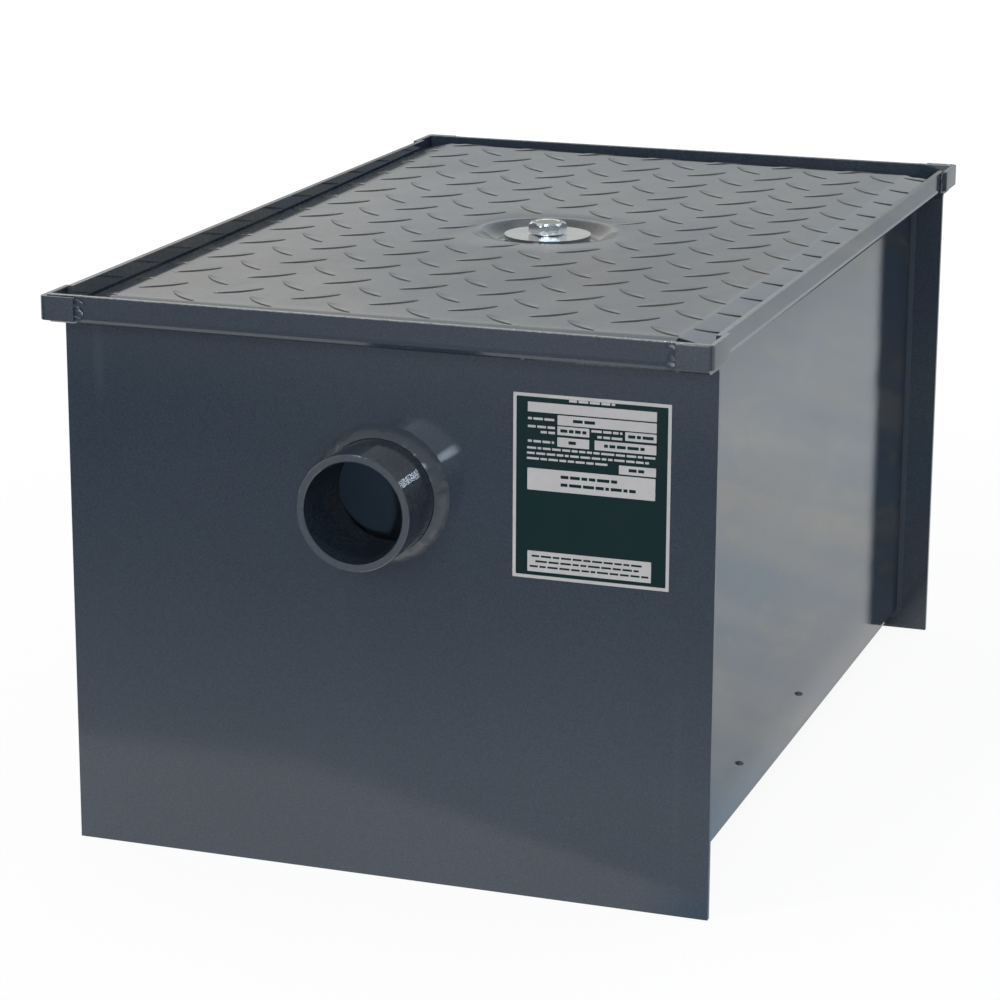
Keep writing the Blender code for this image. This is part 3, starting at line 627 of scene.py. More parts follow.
class GREASETRAP_OT_seam_welds(bpy.types.Operator):
    """Lays the rippled fillet weld where the folded tank meets each end plate"""

    bl_idname = "greasetrap.seam_welds"
    bl_label = "Lay seam welds"

    def execute(self, context):
        settings = context.scene.trap_welds
        coat = enamel("seam_enamel", wet=0.34)
        coat.node_tree.nodes["Principled BSDF"].inputs["Specular IOR Level"].default_value = DULL_SPECULAR
        for end, side in (("inlet", -1), ("outlet", 1)):
            away = Vector((0, -side, 0))
            face = Vector((0, side * (PLATE_FACE - SHEET - 0.1 * MM), 0))
            rings = []
            for index, (place, ray) in enumerate(seam_route()):
                wander = noise.noise(place * 45.0 + Vector((side * 5.0, 0, 0)))
                ripple = 0.05 * MM * math.sin(index * 1.35 + 3.0 * wander)
                leg = settings.seam_leg + 0.5 * MM * wander + ripple
                corner = place + face + ray * 0.1 * MM
                rings.append(bead_points(corner, ray, away, leg, leg, 0.5 * ripple - 0.15 * MM, 6))
            shape = bmesh.new()
            skin_rings(shape, rings)
            piece = place_piece(f"{end}_seam_bead", shape, coat, smooth=60.0)
            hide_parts(f"{end}_seam_weld")
        return {"FINISHED"}


# Corner brackets.


BRACKET_X = SIDE_RIM + 3.3 * MM
BRACKET_Y = END_RIM + 3.3 * MM
BRACKET_DEPTH = 12.6 * MM
BRACKET_BEND = 3.4 * MM
END_LEG = 19.3 * MM
SIDE_LEG = 31.0 * MM
BRACKET_LIFT = {
    ("inlet", "left"): -0.5 * MM,
    ("inlet", "right"): 0.6 * MM,
    ("outlet", "left"): 0.0,
    ("outlet", "right"): 0.2 * MM,
}
DRIP_DROPS = 11


def bracket_path(side_x, side_y, inset):
    """Plan of a bracket's face at a distance inside its outer face, round its bend."""
    outer_x = BRACKET_X - inset
    outer_y = BRACKET_Y - inset
    bend = max(BRACKET_BEND - inset, 0.4 * MM)
    points = [Vector((side_x * (BRACKET_X - END_LEG), side_y * outer_y))]
    for step in range(9):
        angle = math.pi / 2 * step / 8
        across = outer_x - bend + bend * math.sin(angle)
        along = outer_y - bend + bend * math.cos(angle)
        points.append(Vector((side_x * across, side_y * along)))
    points.append(Vector((side_x * outer_x, side_y * (BRACKET_Y - SIDE_LEG))))
    return points


class GREASETRAP_OT_brackets(bpy.types.Operator):
    """Bends the corner brackets, each a little out of line, and lays their end welds"""

    bl_idname = "greasetrap.brackets"
    bl_label = "Make corner brackets"

    def execute(self, context):
        coat = enamel("bracket_enamel", 0.1 * MM, (40.0, 40.0, 40.0), wet=0.09, wear_and_highlight=0.35)
        coat.node_tree.nodes["Principled BSDF"].inputs["IOR"].default_value = BRACKET_IOR
        drip_coat = enamel("drip_enamel", 0.12 * MM, (420.0, 420.0, 420.0), smears=0.10, wet=0.16)
        for end, side_y in (("inlet", -1), ("outlet", 1)):
            for hand, side_x in (("left", -1), ("right", 1)):
                self.bend_bracket(end, hand, side_x, side_y, coat)
                self.lay_welds(end, hand, side_x, side_y, drip_coat)
        return {"FINISHED"}

    def bend_bracket(self, end, hand, side_x, side_y, coat):
        top = RIM_TOP + BRACKET_LIFT[end, hand]
        low = top - BRACKET_DEPTH
        rings = []
        for near, far in zip(bracket_path(side_x, side_y, 0.0), bracket_path(side_x, side_y, SHEET)):
            rings.append([(*near, low), (*near, top), (*far, top), (*far, low)])
        shape = bmesh.new()
        skin_rings(shape, rings)
        piece = place_piece(f"{end}_{hand}_bracket", shape, coat)
        add_bevel(piece, 0.5 * MM, 3)
        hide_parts(f"corner_bracket_{end}_{hand}")

    def lay_welds(self, end, hand, side_x, side_y, coat):
        """Runs of overlapping drops, melted into one bead, down both of a bracket's ends."""
        runs = (
            ("end", BRACKET_X - END_LEG - 1.2 * MM, END_RIM + 0.5 * MM, Vector((1, 0, 0)), 1.7),
            ("side", SIDE_RIM + 0.5 * MM, BRACKET_Y - SIDE_LEG - 1.5 * MM, Vector((0, 1, 0)), 0.0),
        )
        for label, x, y, run, shift in runs:
            shape = bmesh.new()
            flat = Vector((run.y, run.x, 0))
            seed = side_x * 3.1 + side_y * 5.3 + shift
            for index in range(DRIP_DROPS):
                share = index / (DRIP_DROPS - 1)
                drift = noise.noise(Vector((seed, share * 5.0, 0.3)))
                middle = Vector((side_x * x, side_y * y, RIM_TOP - 2.2 * MM - share * 9.3 * MM))
                middle += run * drift * 4.5 * MM
                size = 1.35 * MM + 0.9 * MM * noise.noise(Vector((seed, share * 7.0, 2.0)))
                middle += flat * 0.5 * MM * noise.noise(Vector((seed, share * 6.0, 7.0)))
                radii = Vector((size, size, size + 0.3 * MM)) + run * 1.5 * MM - flat * size * 0.50
                add_ball(shape, middle, radii)
            piece = place_piece(f"{end}_{hand}_{label}_drip", shape, coat, smooth=0)
            skin = piece.modifiers.new("run together", "REMESH")
            skin.mode = "VOXEL"
            skin.voxel_size = 0.4 * MM
            skin.use_smooth_shade = True
            piece.modifiers.new("flow", "SMOOTH").iterations = 5
            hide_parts(f"bracket_weld_{end}_{hand}_{label}")


# X of the drops along the front rim, in millimetres.
EDGE_DROPS = (33.0, 76.0, 118.0, 133.0)


class GREASETRAP_OT_spatter(bpy.types.Operator):
    """Scatters the weld spatter that sticks to the rims beside the brackets and along the edge"""

    bl_idname = "greasetrap.spatter"
    bl_label = "Scatter weld spatter"

    def execute(self, context):
        coat = bare_metal("spatter_steel")
        shape = bmesh.new()
        for side_y in (-1, 1):
            for side_x in (-1, 1):
                for index in range(4):
                    seed = Vector((side_x * 2.3, side_y * 4.1, index * 1.9))
                    shifts = (Vector((0.0, 0.0, shift)) for shift in (0.0, 11.0, 23.0))
                    drift = Vector([noise.noise(seed + shift) for shift in shifts])
                    x = side_x * (SIDE_RIM - 18.0 * MM) + drift.x * 7.0 * MM
                    y = side_y * (END_RIM - 1.4 * MM + drift.y * 1.2 * MM)
                    self.add_drop(shape, Vector((x, y, RIM_TOP)), (0.5 + 0.3 * abs(drift.z)) * MM)
        for x in EDGE_DROPS:
            self.add_drop(shape, Vector((x * MM, -END_RIM + 1.7 * MM, RIM_TOP)), 0.55 * MM)
        place_piece("rim_spatter", shape, coat, smooth=60.0)
        return {"FINISHED"}

    def add_drop(self, shape, place, size):
        add_ball(shape, place, (size * 1.5, size, size * 0.7), 2)


# Tread-plate cover.


MARGIN = 19.0 * MM
END_MARGIN = 23.0 * MM
FOLD_X = COVER_HIGH.x - MARGIN
FOLD_Y = COVER_HIGH.y - END_MARGIN
MARGIN_FALL = 4.5 * MM
FOLD_EASE = 2.0 * MM
GRID = 8.0 * MM
HOLE = 7.1 * MM
DISH_FOOT = 27.0 * MM
DISH_STEPS = 96
LUG_ORIGIN = Vector((-8.9 * MM, -4.8 * MM))
LUG_ANGLE = math.radians(44)
LUG_STEPS = 18
SHORTEST_LUG = 8.0 * MM
# Section of a lug, as shares of its half width and of its height.
LUG_PROFILE = ((-1.0, 0.0), (-0.93, 0.93), (-0.88, 1.0), (0.0, 1.03), (0.88, 1.0), (0.93, 0.93), (1.0, 0.0))


def fold_drop(beyond, margin):
    """Fall of the cover's face past a fold line, eased across the fold."""
    if beyond <= -FOLD_EASE:
        return 0.0
    if beyond >= FOLD_EASE:
        return MARGIN_FALL / margin * beyond
    return MARGIN_FALL / margin * (beyond + FOLD_EASE) ** 2 / (4 * FOLD_EASE)


def cover_level(x, y, settings):
    """Height of the cover's upper face without lugs: crest, sag, lean, waves and margins."""
    crest = RIM_TOP - 3.2 * MM
    across = x / 0.150
    along = y / 0.250
    twist = 0.05 - 0.99 * across * along + 0.11 * across * across * along + 0.38 * across * along * along
    bow = 0.29 * across * across + 0.77 * along * along - 0.93 * across + 0.73 * along - 0.75
    sag = settings.sag * math.exp(-(((x * x + y * y) ** 0.5 / 0.15) ** 2))
    wave = 0.12 * MM * noise.noise(Vector((x * 16.0, y * 11.0, 4.0)))
    fall = max(fold_drop(abs(x) - FOLD_X, MARGIN), fold_drop(abs(y) - FOLD_Y, END_MARGIN))
    return crest + (twist + bow) * settings.twist * MM - sag + wave - fall


def pressed_level(x, y, settings):
    """Height of the cover's upper face with the pressed dish round the bolt."""
    share = (settings.dish_radius - math.hypot(x, y)) / (settings.dish_radius - DISH_FOOT)
    share = max(0.0, min(1.0, share))
    return cover_level(x, y, settings) - settings.dish_depth * share * share * (3 - 2 * share)


def cover_lines(edge, fold):
    """Grid lines across the cover, close together at the folds."""
    flat = fold - FOLD_EASE
    count = max(2, round(2 * flat / GRID))
    inner = [-flat + 2 * flat * step / count for step in range(count + 1)]
    outer = [flat + 2 * FOLD_EASE * step / 6 for step in range(1, 7)]
    outer += [fold + FOLD_EASE + (edge - fold - FOLD_EASE) * step / 3 for step in range(1, 4)]
    return [-value for value in outer[::-1]] + inner + outer


class GREASETRAP_OT_cover(bpy.types.Operator):
    """Presses the tread-plate cover: sagging crest, folded margins, dish and rounded lugs"""

    bl_idname = "greasetrap.cover"
    bl_label = "Press tread cover"

    def execute(self, context):
        settings = context.scene.trap_cover
        # A film with painted sheen across the cover and its lugs.
        film = (0.18, (26.0, 13.0, 26.0), (0.0, 0.0, 0.3))
        # A pale warm spot on the dish round the bolt.
        pale_dish_spot = [((0.0, 0.0, COVER_HIGH.z - 0.008), (0.030, 0.030, 0.012), 0.0, (0.250, 0.240, 0.215, 0.95))]
        look = {"smears": 0.03, "wet": 0.10, "film_sheen": film}
        coat = enamel("cover_enamel", 0.25 * MM, (26.0, 9.0, 1.0), pale_dish_spot, **look)
        # The lugs' steep sides take a dusty tone with painted shade.
        lug_coat = enamel("lug_enamel", 0.25 * MM, (26.0, 9.0, 1.0), dust_and_shade=0.85, **look)
        shape = bmesh.new()
        self.add_sheet(shape, settings)
        piece = place_piece("tread_cover", shape, coat, smooth=40.0)
        solid = piece.modifiers.new("sheet", "SOLIDIFY")
        solid.thickness = SHEET
        solid.offset = -1.0
        add_bevel(piece, 0.4 * MM, 2, 60.0)
        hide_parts("cover")
        lugs = bmesh.new()
        for seat in self.lug_seats(settings):
            self.add_lug(lugs, *seat, settings)
        if not lugs.faces:
            raise RuntimeError("the cover has no lugs")
        place_piece("cover_tread", lugs, lug_coat, smooth=12.0)
        return {"FINISHED"}

    def add_sheet(self, shape, settings):
        """One skin: a grid with its corners notched out, rings for the dish, and a fill between."""
        xs = cover_lines(COVER_HIGH.x, FOLD_X)
        ys = cover_lines(COVER_HIGH.y, FOLD_Y)
        lip = settings.dish_radius + 8 * MM
        keep = {}
        for column, x in enumerate(xs):
            for row, y in enumerate(ys):
                notch = abs(x) > FOLD_X + 1.0 * MM and abs(y) > FOLD_Y + 1.0 * MM
                if not notch and max(abs(x), abs(y)) > lip - 1e-6:
                    keep[column, row] = shape.verts.new((x, y, cover_level(x, y, settings)))
        for column in range(len(xs) - 1):
            for row in range(len(ys) - 1):
                cell = [(column, row), (column + 1, row), (column + 1, row + 1), (column, row + 1)]
                if all(spot in keep for spot in cell):
                    shape.faces.new([keep[spot] for spot in cell])
        reach = lip + 9 * MM
        border = [
            edge for edge in shape.edges
            if edge.is_boundary and all(max(abs(vert.co.x), abs(vert.co.y)) < reach for vert in edge.verts)
        ]
        radii = [settings.dish_radius + 3 * MM]
        radii += [settings.dish_radius - step * 1.2 * MM for step in range(13)]
        radii += [22.0 * MM, 15.0 * MM, HOLE]
        rings = []
        for radius in radii:
            ring = []
            for step in range(DISH_STEPS):
                angle = 2 * math.pi * step / DISH_STEPS
                x = radius * math.cos(angle)
                y = radius * math.sin(angle)
                ring.append((x, y, pressed_level(x, y, settings)))
            rings.append(ring)
        # The dish's middle is drawn to the height at which the washers lie on it.
        lift = WASHER_LOW.z - 1.2 * MM - rings[-1][0][2]
        for ring, radius in zip(rings, radii):
            share = min(1.0, 26.5 * MM / radius) ** 4
            ring[:] = [(x, y, z + lift * share) for x, y, z in ring]
        first = skin_rings(shape, rings, cap=False)[0]
        border += [shape.edges.get((vert, first[step - 1])) for step, vert in enumerate(first)]
        bmesh.ops.triangle_fill(shape, edges=border, use_beauty=True)
        bmesh.ops.recalc_face_normals(shape, faces=shape.faces)
        if sum(face.normal.z for face in shape.faces) < 0:
            bmesh.ops.reverse_faces(shape, faces=shape.faces)

    def lug_seats(self, settings):
        """Middle, direction and ends of each lug that the cover holds."""
        edge_x = COVER_HIGH.x - 1.0 * MM
        edge_y = COVER_HIGH.y - 1.0 * MM
        pitch = Vector((settings.pitch, settings.pitch + 0.37 * MM))
        seats = []
        for column in range(-6, 7):
            for row in range(-8, 9):
                for shift, sign in ((0.0, 1), (0.5, -1)):
                    middle = LUG_ORIGIN + Vector((column + shift, row + shift)) * pitch
                    run = Vector((math.cos(LUG_ANGLE), sign * math.sin(LUG_ANGLE)))
                    low = -settings.lug_length / 2
                    high = settings.lug_length / 2
                    for place, step, edge in ((middle.x, run.x, edge_x), (middle.y, run.y, edge_y)):
                        ends = sorted(((-edge - place) / step, (edge - place) / step))
                        low = max(low, ends[0])
                        high = min(high, ends[1])
                    centre = middle + run * (low + high) / 2
                    if high - low >= SHORTEST_LUG and abs(centre.y) <= COVER_HIGH.y - MARGIN:
                        seats.append((middle, run, low, high))
        return seats

    def add_lug(self, shape, middle, run, low, high, settings):
        """One lens-shaped lug, fading where the dish has stretched it."""
        side = Vector((-run.y, run.x))
        half = settings.lug_length / 2
        reach = min((middle + run * share * half).length for share in (-1.0, -0.5, 0.0, 0.5, 1.0))
        fade = min(1.0, (reach - 24.0 * MM) / (16.0 * MM))
        if fade < 0.2:
            return
        rings = []
        for index in range(LUG_STEPS + 1):
            spot = low + (high - low) * index / LUG_STEPS
            slim = max(0.0, 1.0 - (spot / half) ** 2)
            width = settings.lug_width / 2 * slim + 0.02 * MM
            crown = settings.lug_height * (0.05 + 0.95 * slim ** 0.4) * fade
            if index in (0, LUG_STEPS):
                crown = 0.0
            ring = []
            for across, rise in LUG_PROFILE:
                point = middle + run * spot + side * width * across
                level = pressed_level(point.x, point.y, settings)
                ring.append((point.x, point.y, level + crown * rise - 0.04 * MM))
            for across in (1, -1):
                point = middle + run * spot + side * width * across
                ring.append((*point, pressed_level(point.x, point.y, settings) - 0.9 * MM))
            rings.append(ring)
        skin_rings(shape, rings)


# Bolt, washers and gasket.


HALF_FLATS = 9.5 * MM
HEAD_CORNER = HALF_FLATS / math.cos(math.pi / 6)
HEAD_TURN = math.radians(23.0)
HEAD_STEPS = 72
THREAD_PITCH = 1.954 * MM
THREAD_CREST = 6.1 * MM
THREAD_ROOT = 5.2 * MM
THREAD_STEPS = 24


class GREASETRAP_OT_fittings(bpy.types.Operator):
    """Makes the threaded hold-down bolt and finishes its washers, nut and the gasket"""

    bl_idname = "greasetrap.fittings"
    bl_label = "Finish bolt and washers"

    def execute(self, context):
        # The bolt's zinc is painted darker on its top, a painted shade.
        bolt_coat = zinc("bolt_zinc", (0.88, 0.92, 0.98), top_shade=(0.20, 0.190, 0.145))
        washer_coat = zinc("washer_zinc", (0.56, 0.57, 0.56), turned=True)
        black = rubber("black_sheet_rubber")
        for name, coat, ease in (
            ("cover_washer", washer_coat, 0.4 * MM),
            ("bar_nut", bolt_coat, 0.3 * MM),
            ("seal_washer", black, 0.1 * MM),
            ("cover_gasket", black, 0.3 * MM),
        ):
            dress(name, coat, ease, 3)
        self.make_bolt(bolt_coat)
        return {"FINISHED"}

    def make_bolt(self, coat):
        shape = bmesh.new()
        top = BOLT_HIGH.z
        under = WASHER_HIGH.z + 0.3 * MM
        levels = [  # Height, reach, and how far the corners are rounded off.
            (under, 8.9 * MM, 0.0),
            (under + 0.35 * MM, 8.9 * MM, 0.0),
            (under + 0.4 * MM, HEAD_CORNER, 0.55 * MM),
            (under + 0.9 * MM, HEAD_CORNER, 0.0),
            (top - 1.9 * MM, HEAD_CORNER, 0.0),
            (top - 1.2 * MM, HEAD_CORNER, 0.5 * MM),
            (top - 0.3 * MM, HEAD_CORNER, 1.5 * MM),
            (top, 8.6 * MM, 0.0),
            (top, 6.8 * MM, 0.0),
            (top - 0.25 * MM, 6.3 * MM, 0.0),
            (top - 0.25 * MM, 1.0 * MM, 0.0),
        ]
        rings = []
        for level, reach, ease in levels:
            ring = []
            for step in range(HEAD_STEPS):
                angle = 2 * math.pi * step / HEAD_STEPS
                side = HALF_FLATS / math.cos(angle % (math.pi / 3) - math.pi / 6)
                radius = min(reach, side, HEAD_CORNER - ease)
                angle += HEAD_TURN
                ring.append((radius * math.cos(angle), radius * math.sin(angle), level))
            rings.append(ring)
        skin_rings(shape, rings)
        self.add_thread(shape, under)
        piece = place_piece(
            "bolt_and_thread", shape, coat, smooth=12.0, body="hold_down_bolt", slot="zinc_plated_steel"
        )
        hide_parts("cover_bolt")

    def add_thread(self, shape, under):
        """Shank with a helical thread, as one skin of rings that climb by the pitch."""
        low = BOLT_LOW.z + 0.5 * MM
        rows = int((under - low) / (THREAD_PITCH / 6))
        rings = []
        for row in range(rows + 1):
            level = low + (under - low) * row / rows
            ring = []
            for step in range(THREAD_STEPS):
                angle = 2 * math.pi * step / THREAD_STEPS
                phase = (level / THREAD_PITCH - step / THREAD_STEPS) % 1.0
                tooth = min(1.0, max(0.0, 1.4 * (1 - abs(2 * phase - 1)) - 0.2))
                radius = THREAD_ROOT + (THREAD_CREST - THREAD_ROOT) * tooth
                if row < 4:  # The tip is chamfered.
                    radius = min(radius, THREAD_ROOT - 0.4 * MM + 0.3 * MM * row)
                ring.append((radius * math.cos(angle), radius * math.sin(angle), level))
            rings.append(ring)
        skin_rings(shape, rings)


# Label.


# In millimetres on the plate: left, low, right and high edges.
LABEL = (69.9, 171.0, 151.5, 266.0)
BORDER = 1.7
LABEL_FIELDS = (
    (77.5, 256.7, 144.0, 261.7),
    (93.0, 251.0, 144.0, 256.0),
    (93.0, 246.0, 109.5, 250.4),
    (128.0, 246.0, 144.0, 250.4),
    (93.0, 240.0, 109.5, 244.8),
    (112.3, 240.0, 144.0, 244.8),
    (125.0, 228.8, 144.0, 233.3),
    (77.5, 216.8, 143.8, 228.0),
    (77.8, 174.6, 142.3, 185.3),
)
# Rows of dashes: left, low and right edges, height, and whether they are dark (1) or pale (0).
LABEL_LINES = (
    (98.9, 263.0, 122.6, 1.2, 0),
    (77.6, 252.7, 91.3, 1.2, 0),
    (77.6, 248.7, 91.7, 1.2, 0),
    (84.3, 246.1, 91.7, 1.2, 0),
    (110.6, 248.8, 126.5, 1.2, 0),
    (113.7, 246.0, 126.5, 1.2, 0),
    (77.6, 241.2, 91.3, 1.2, 0),
    (77.3, 237.8, 143.5, 1.1, 0),
    (77.2, 235.1, 140.3, 1.1, 0),
    (77.2, 232.4, 119.0, 1.1, 0),
    (101.0, 252.7, 112.4, 1.6, 1),
    (94.5, 247.4, 108.0, 1.6, 1),
    (129.5, 247.4, 142.5, 1.6, 1),
    (98.8, 241.6, 102.6, 1.6, 1),
    (117.2, 241.6, 138.0, 1.6, 1),
    (130.0, 230.3, 138.0, 1.6, 1),
    (94.9, 223.8, 124.2, 1.6, 1),
    (94.9, 219.8, 133.8, 1.6, 1),
    (80.0, 182.2, 137.5, 1.0, 1),
    (82.0, 179.5, 136.0, 1.0, 1),
    (79.0, 176.8, 141.0, 1.0, 1),
)


# How far the layers reach out of the plate, in millimetres.
BORDER_DEPTHS = (0.02, 0.16)
GROUND_DEPTHS = (0.10, 0.20)
FIELD_DEPTHS = (0.15, 0.24)
DASH_DEPTHS = ((0.16, 0.23), (0.20, 0.27))
DASH_GAP = 0.8


def panel(shape, edges, depths, radius, slot):
    """A thin panel with rounded corners on the inlet plate, all in millimetres."""
    x0, z0, x1, z1 = edges
    left, right = x0 + radius, x1 - radius
    low, high = z0 + radius, z1 - radius
    rings = []
    for depth in depths:
        ring = []
        for quarter, (x, z) in enumerate(((right, high), (left, high), (left, low), (right, low))):
            for step in range(5):
                angle = math.radians(90.0 * quarter + 22.5 * step)
                across = (x + radius * math.cos(angle)) * MM
                ring.append((across, -PLATE_FACE - depth * MM, (z + radius * math.sin(angle)) * MM))
        rings.append(ring)
    first = len(shape.faces)
    skin_rings(shape, rings)
    shape.faces.ensure_lookup_table()
    for face in shape.faces[first:]:
        face.material_index = slot


class GREASETRAP_OT_label(bpy.types.Operator):
    """Sticks the blank label with its empty fields on the inlet plate"""

    bl_idname = "greasetrap.label"
    bl_label = "Add blank label"

    def execute(self, context):
        settings = context.scene.trap_label
        shape = bmesh.new()
        x0, z0, x1, z1 = LABEL
        panel(shape, LABEL, BORDER_DEPTHS, 0.5, 0)
        panel(shape, (x0 + BORDER, z0 + BORDER, x1 - BORDER, z1 - BORDER), GROUND_DEPTHS, 0.6, 1)
        for edges in LABEL_FIELDS:
            panel(shape, edges, FIELD_DEPTHS, 0.3, 0)
        for row, line in enumerate(LABEL_LINES):
            self.add_dashes(shape, row, *line)
        field = printed("label_field_print", tuple(settings.field))
        ground = printed("label_ground_print", tuple(settings.ground), 0.16)
        piece = place_piece("blank_label", shape, field, ground, smooth=30.0)
        if len(piece.data.materials) != 2:
            raise RuntimeError("the label lost a print")
        return {"FINISHED"}

    def add_dashes(self, shape, row, start, low, end, height, slot):
        """A row of plain dashes that stands for a line of print."""
        index = 0
        while start < end - DASH_GAP:
            length = 4.2 + 3.4 * noise.noise(Vector((row * 1.3, index * 2.7, 0.4)))
            stop = min(start + length, end)
            if end - stop < 2 * DASH_GAP:
                stop = end
            panel(shape, (start, low, stop, low + height), DASH_DEPTHS[slot], 0.15, slot)
            start = stop + DASH_GAP
            index += 1


# Studio.


def floor_material():
    """White paper under the object on darker ground, both white to the camera but for a shadow."""
    shader = Shader("studio_floor")
    x, y, _ = shader.axes()
    rays = shader.add("ShaderNodeLightPath").outputs

    # The ground in front, which the inlet plate mirrors: dark, paler toward the paper and far out.
    near = shader.range(y, -1.20, -0.42)
    left = shader.range(x, -1.0, -0.10, 0.45, 1.0)
    out = shader.times(shader.range(x, -0.62, -0.42, 0.3, 1.0), shader.range(y, -1.15, -0.75, 0.20, 0.10))
    out = shader.math("ADD", out, shader.range(y, -1.40, -1.30, 0.30, 0.0))
    ground = shader.math("MULTIPLY_ADD", shader.times(near, near, 0.56), left, out)

    # The paper, which the right wall mirrors: each band of it has its own tone.
    paper = shader.times(
        shader.range(x, 0.150, 0.185, 1.0, 0.67),
        shader.range(x, 0.20, 0.31, 1.0, 1.14),
        shader.range(x, 0.33, 0.40, 1.0, 1.14),
        shader.range(x, 0.44, 0.56, 1.0, 0.86),
        shader.range(y, 0.70, 1.60, 1.0, 0.72),
    )
    corner = shader.vector("DISTANCE", shader.place, COOL_CORNER)["Value"]
    cool = shader.times(shader.range(corner, 0.08, 0.34, 1.0, 0.0, smooth=True), shader.range(x, 0.130, 0.160))
    paper = shader.blend(1.0, shader.blend(cool, WHITE, (0.62, 0.77, 0.92)), paper, "MULTIPLY")
    bands = shader.noise(1.0, 5.0, 0.66, shader.stretch((2.6, 13.0, 1.0), (0.0, 0.0, BAND_TURN)), 0.5)
    light = shader.blend(shader.range(bands, 0.40, 0.60), (0.84, 0.94, 1.04), (1.07, 1.08, 1.06))
    light = shader.blend(shader.range(x, 0.15, 0.26), WHITE, light)
    paper = shader.blend(1.0, paper, light, "MULTIPLY")

    # The paper's front edge runs askew, and the tank keeps the light off what is under it.
    edge = shader.range(x, -0.112, 0.208, -0.412, -0.270)
    sheet = shader.range(shader.math("SUBTRACT", y, edge), -0.004, 0.004)
    across = shader.range(shader.math("ABSOLUTE", x), 0.148, 0.168, 1.0, 0.0)
    along = shader.range(shader.math("ABSOLUTE", y), 0.250, 0.262, 1.0, 0.0)
    tone = shader.blend(sheet, ground, paper)
    tone = shader.blend(shader.times(across, along), tone, (0.16, 0.16, 0.16))
    tone = shader.blend(1.0, tone, shader.range(shader.noise(3.0), 0.3, 0.7, 0.94, 1.0), "MULTIPLY")

    # Camera, glossy and transmission rays see it glow, all others a plain matt floor.
    plain = shader.add("ShaderNodeBsdfDiffuse", Color=shader.blend(1.0, tone, (0.88, 0.88, 0.88), "MULTIPLY"))
    mirrored = shader.math("MAXIMUM", rays["Is Glossy Ray"], rays["Is Transmission Ray"])
    shown = shader.math("MAXIMUM", rays["Is Camera Ray"], mirrored)
    drawn = shader.blend(rays["Is Camera Ray"], tone, WHITE)
    shadow = shader.add("ShaderNodeBsdfDiffuse", Color=shader.blend(1.0, drawn, (0.12, 0.12, 0.12), "MULTIPLY"))
    apart = shader.vector("LENGTH", shader.place)["Value"]
    strength = shader.math("MAXIMUM", shader.range(apart, 0.5, 1.6, 0.92, 1.0, smooth=True), mirrored)
    glow = shader.add("ShaderNodeEmission", Color=drawn, Strength=strength)
    lit = shader.join("ShaderNodeAddShader", shadow.outputs[0], glow.outputs[0])[0]
    surface = shader.join("ShaderNodeMixShader", shown, plain.outputs[0], lit)[0]
    shader.set(shader.tree.nodes["Material Output"], "Surface", surface)
    shader.tree.nodes.remove(shader.base)
    return shader.material


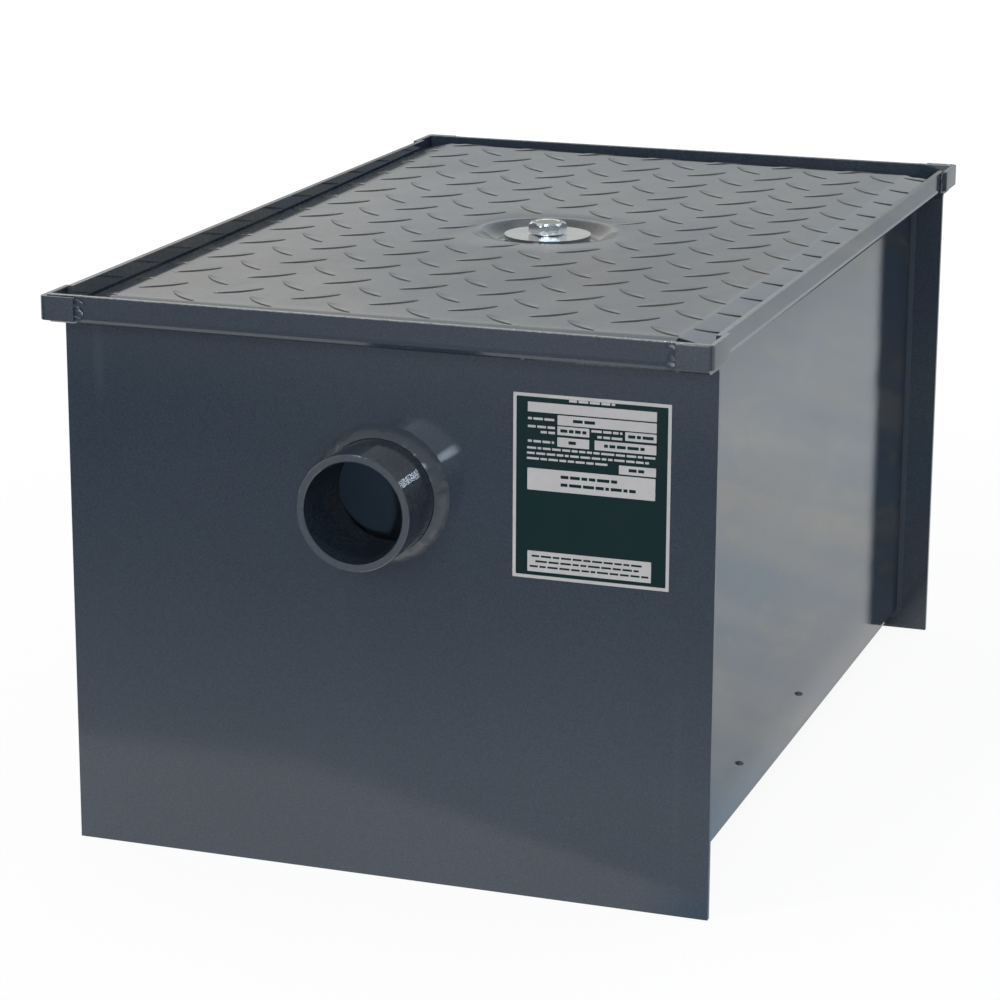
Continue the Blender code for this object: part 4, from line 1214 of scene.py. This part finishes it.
class GREASETRAP_OT_stage(bpy.types.Operator):
    """Sets the camera, the floor, the lamps and the pale surroundings"""

    bl_idname = "greasetrap.stage"
    bl_label = "Set up studio"

    def execute(self, context):
        self.add_camera(context)
        self.add_floor(context)
        self.add_lamps(context)
        self.add_world(context)
        context.scene.view_settings.view_transform = "Standard"
        return {"FINISHED"}

    def add_camera(self, context):
        pitch, roll, yaw = (math.radians(angle) for angle in CAMERA_TURN)
        ahead = Vector((math.sin(yaw) * math.cos(pitch), math.cos(yaw) * math.cos(pitch), math.sin(pitch)))
        right = Vector((math.cos(yaw), -math.sin(yaw), 0.0))
        above = right.cross(ahead)
        side = right * math.cos(roll) + above * math.sin(roll)
        crown = above * math.cos(roll) - right * math.sin(roll)
        data = bpy.data.cameras.new("studio_camera")
        data.lens = CAMERA_LENS
        data.sensor_width = 36.0
        camera = bpy.data.objects.new("studio_camera", data)
        context.scene.collection.objects.link(camera)
        matrix = Matrix((side, crown, -ahead)).transposed().to_4x4()
        matrix.translation = Vector(CAMERA_PLACE)
        camera.matrix_world = matrix
        context.scene.camera = camera

    def add_floor(self, context):
        mesh = bpy.data.meshes.new("studio_floor")
        shape = bmesh.new()
        bmesh.ops.create_circle(shape, cap_ends=True, segments=96, radius=14.0)
        shape.to_mesh(mesh)
        shape.free()
        mesh.materials.append(floor_material())
        plane = bpy.data.objects.new("studio_floor", mesh)
        plane.location = (0, 0, -0.1 * MM)
        context.scene.collection.objects.link(plane)

    def add_lamps(self, context):
        aim = Vector((0.0, 0.0, 0.18))
        for name, place, size, power, tint in LAMPS:
            data = bpy.data.lights.new(name, "AREA")
            data.shape = "SQUARE"
            data.size = size
            data.energy = power
            data.color = tint
            lamp = bpy.data.objects.new(name, data)
            lamp.location = place
            lamp.rotation_euler = (aim - Vector(place)).to_track_quat("-Z", "Y").to_euler()
            context.scene.collection.objects.link(lamp)

    def add_world(self, context):
        """Pale surroundings that the camera sees as white and the object mirrors as tinted clouds."""
        world = bpy.data.worlds.new("studio_world")
        world.use_nodes = True
        context.scene.world = world
        world.node_tree.nodes.clear()
        sky = Nodes(world.node_tree, "Generated")
        x, y, z = sky.axes()
        rays = sky.add("ShaderNodeLightPath").outputs
        flat = sky.add("ShaderNodeMapping", Vector=sky.place, Scale=(1.0, 1.0, 2.6)).outputs["Vector"]
        patches = sky.range(sky.noise(17.0, 4.0, 0.5, flat, 0.6), 0.42, 0.58)
        clouds = sky.blend(patches, (0.78, 0.91, 1.03), (1.06, 1.05, 1.00))
        colour = sky.blend(sky.range(x, -0.15, -0.45), clouds, (1.0, 0.985, 0.945))
        overhead = sky.math("MULTIPLY_ADD", rays["Is Glossy Ray"], 0.35, 0.45)
        strength = sky.times(
            sky.range(y, -0.35, 0.45, 0.26, 0.92, smooth=True),
            sky.range(sky.noise(7.0, 2.0), 0.3, 0.7, 0.88, 1.12),
            sky.range(x, -0.15, -0.45, 0.96, 1.20),
            sky.range(z, 0.32, 0.80, 1.0, overhead, smooth=True),
            sky.range(z, 0.160, 0.215, 0.42),
        )
        room = sky.add("ShaderNodeBackground", Color=colour, Strength=strength)
        white = sky.add("ShaderNodeBackground", Color=(*WHITE, 1.0))
        surface = sky.join("ShaderNodeMixShader", rays["Is Camera Ray"], room.outputs[0], white.outputs[0])[0]
        sky.add("ShaderNodeOutputWorld", Surface=surface)


class GREASETRAP_PT_panel(bpy.types.Panel):
    """Lists the grease trap's steps and their settings"""

    bl_idname = "GREASETRAP_PT_panel"
    bl_label = "Grease Trap"
    bl_space_type = "VIEW_3D"
    bl_region_type = "UI"
    bl_category = "Grease Trap"

    def draw(self, context):
        layout = self.layout
        for group, kind in GROUPS.items():
            for name in kind.__annotations__:
                layout.prop(getattr(context.scene, group), name)
        for step in STEPS:
            layout.operator(step.bl_idname)


GROUPS = {
    "trap_paint": PaintSettings,
    "trap_cover": CoverSettings,
    "trap_welds": WeldSettings,
    "trap_label": LabelSettings,
}
STEPS = (
    GREASETRAP_OT_stage,
    GREASETRAP_OT_sheet,
    GREASETRAP_OT_pipes,
    GREASETRAP_OT_pipe_welds,
    GREASETRAP_OT_seam_welds,
    GREASETRAP_OT_brackets,
    GREASETRAP_OT_spatter,
    GREASETRAP_OT_cover,
    GREASETRAP_OT_fittings,
    GREASETRAP_OT_label,
)


def register():
    for kind in (*GROUPS.values(), *STEPS, GREASETRAP_PT_panel):
        bpy.utils.register_class(kind)
    for name, kind in GROUPS.items():
        setattr(bpy.types.Scene, name, PointerProperty(type=kind))


def unregister():
    for name in GROUPS:
        delattr(bpy.types.Scene, name)
    for kind in (GREASETRAP_PT_panel, *STEPS[::-1], *GROUPS.values()):
        bpy.utils.unregister_class(kind)


def main():
    register()
    bpy.ops.greasetrap.stage()
    bpy.ops.greasetrap.sheet()
    bpy.ops.greasetrap.pipes()
    bpy.ops.greasetrap.pipe_welds()
    bpy.ops.greasetrap.seam_welds()
    bpy.ops.greasetrap.brackets()
    bpy.ops.greasetrap.spatter()
    bpy.ops.greasetrap.cover()
    bpy.ops.greasetrap.fittings()
    bpy.ops.greasetrap.label()


if __name__ == "__main__":
    main()
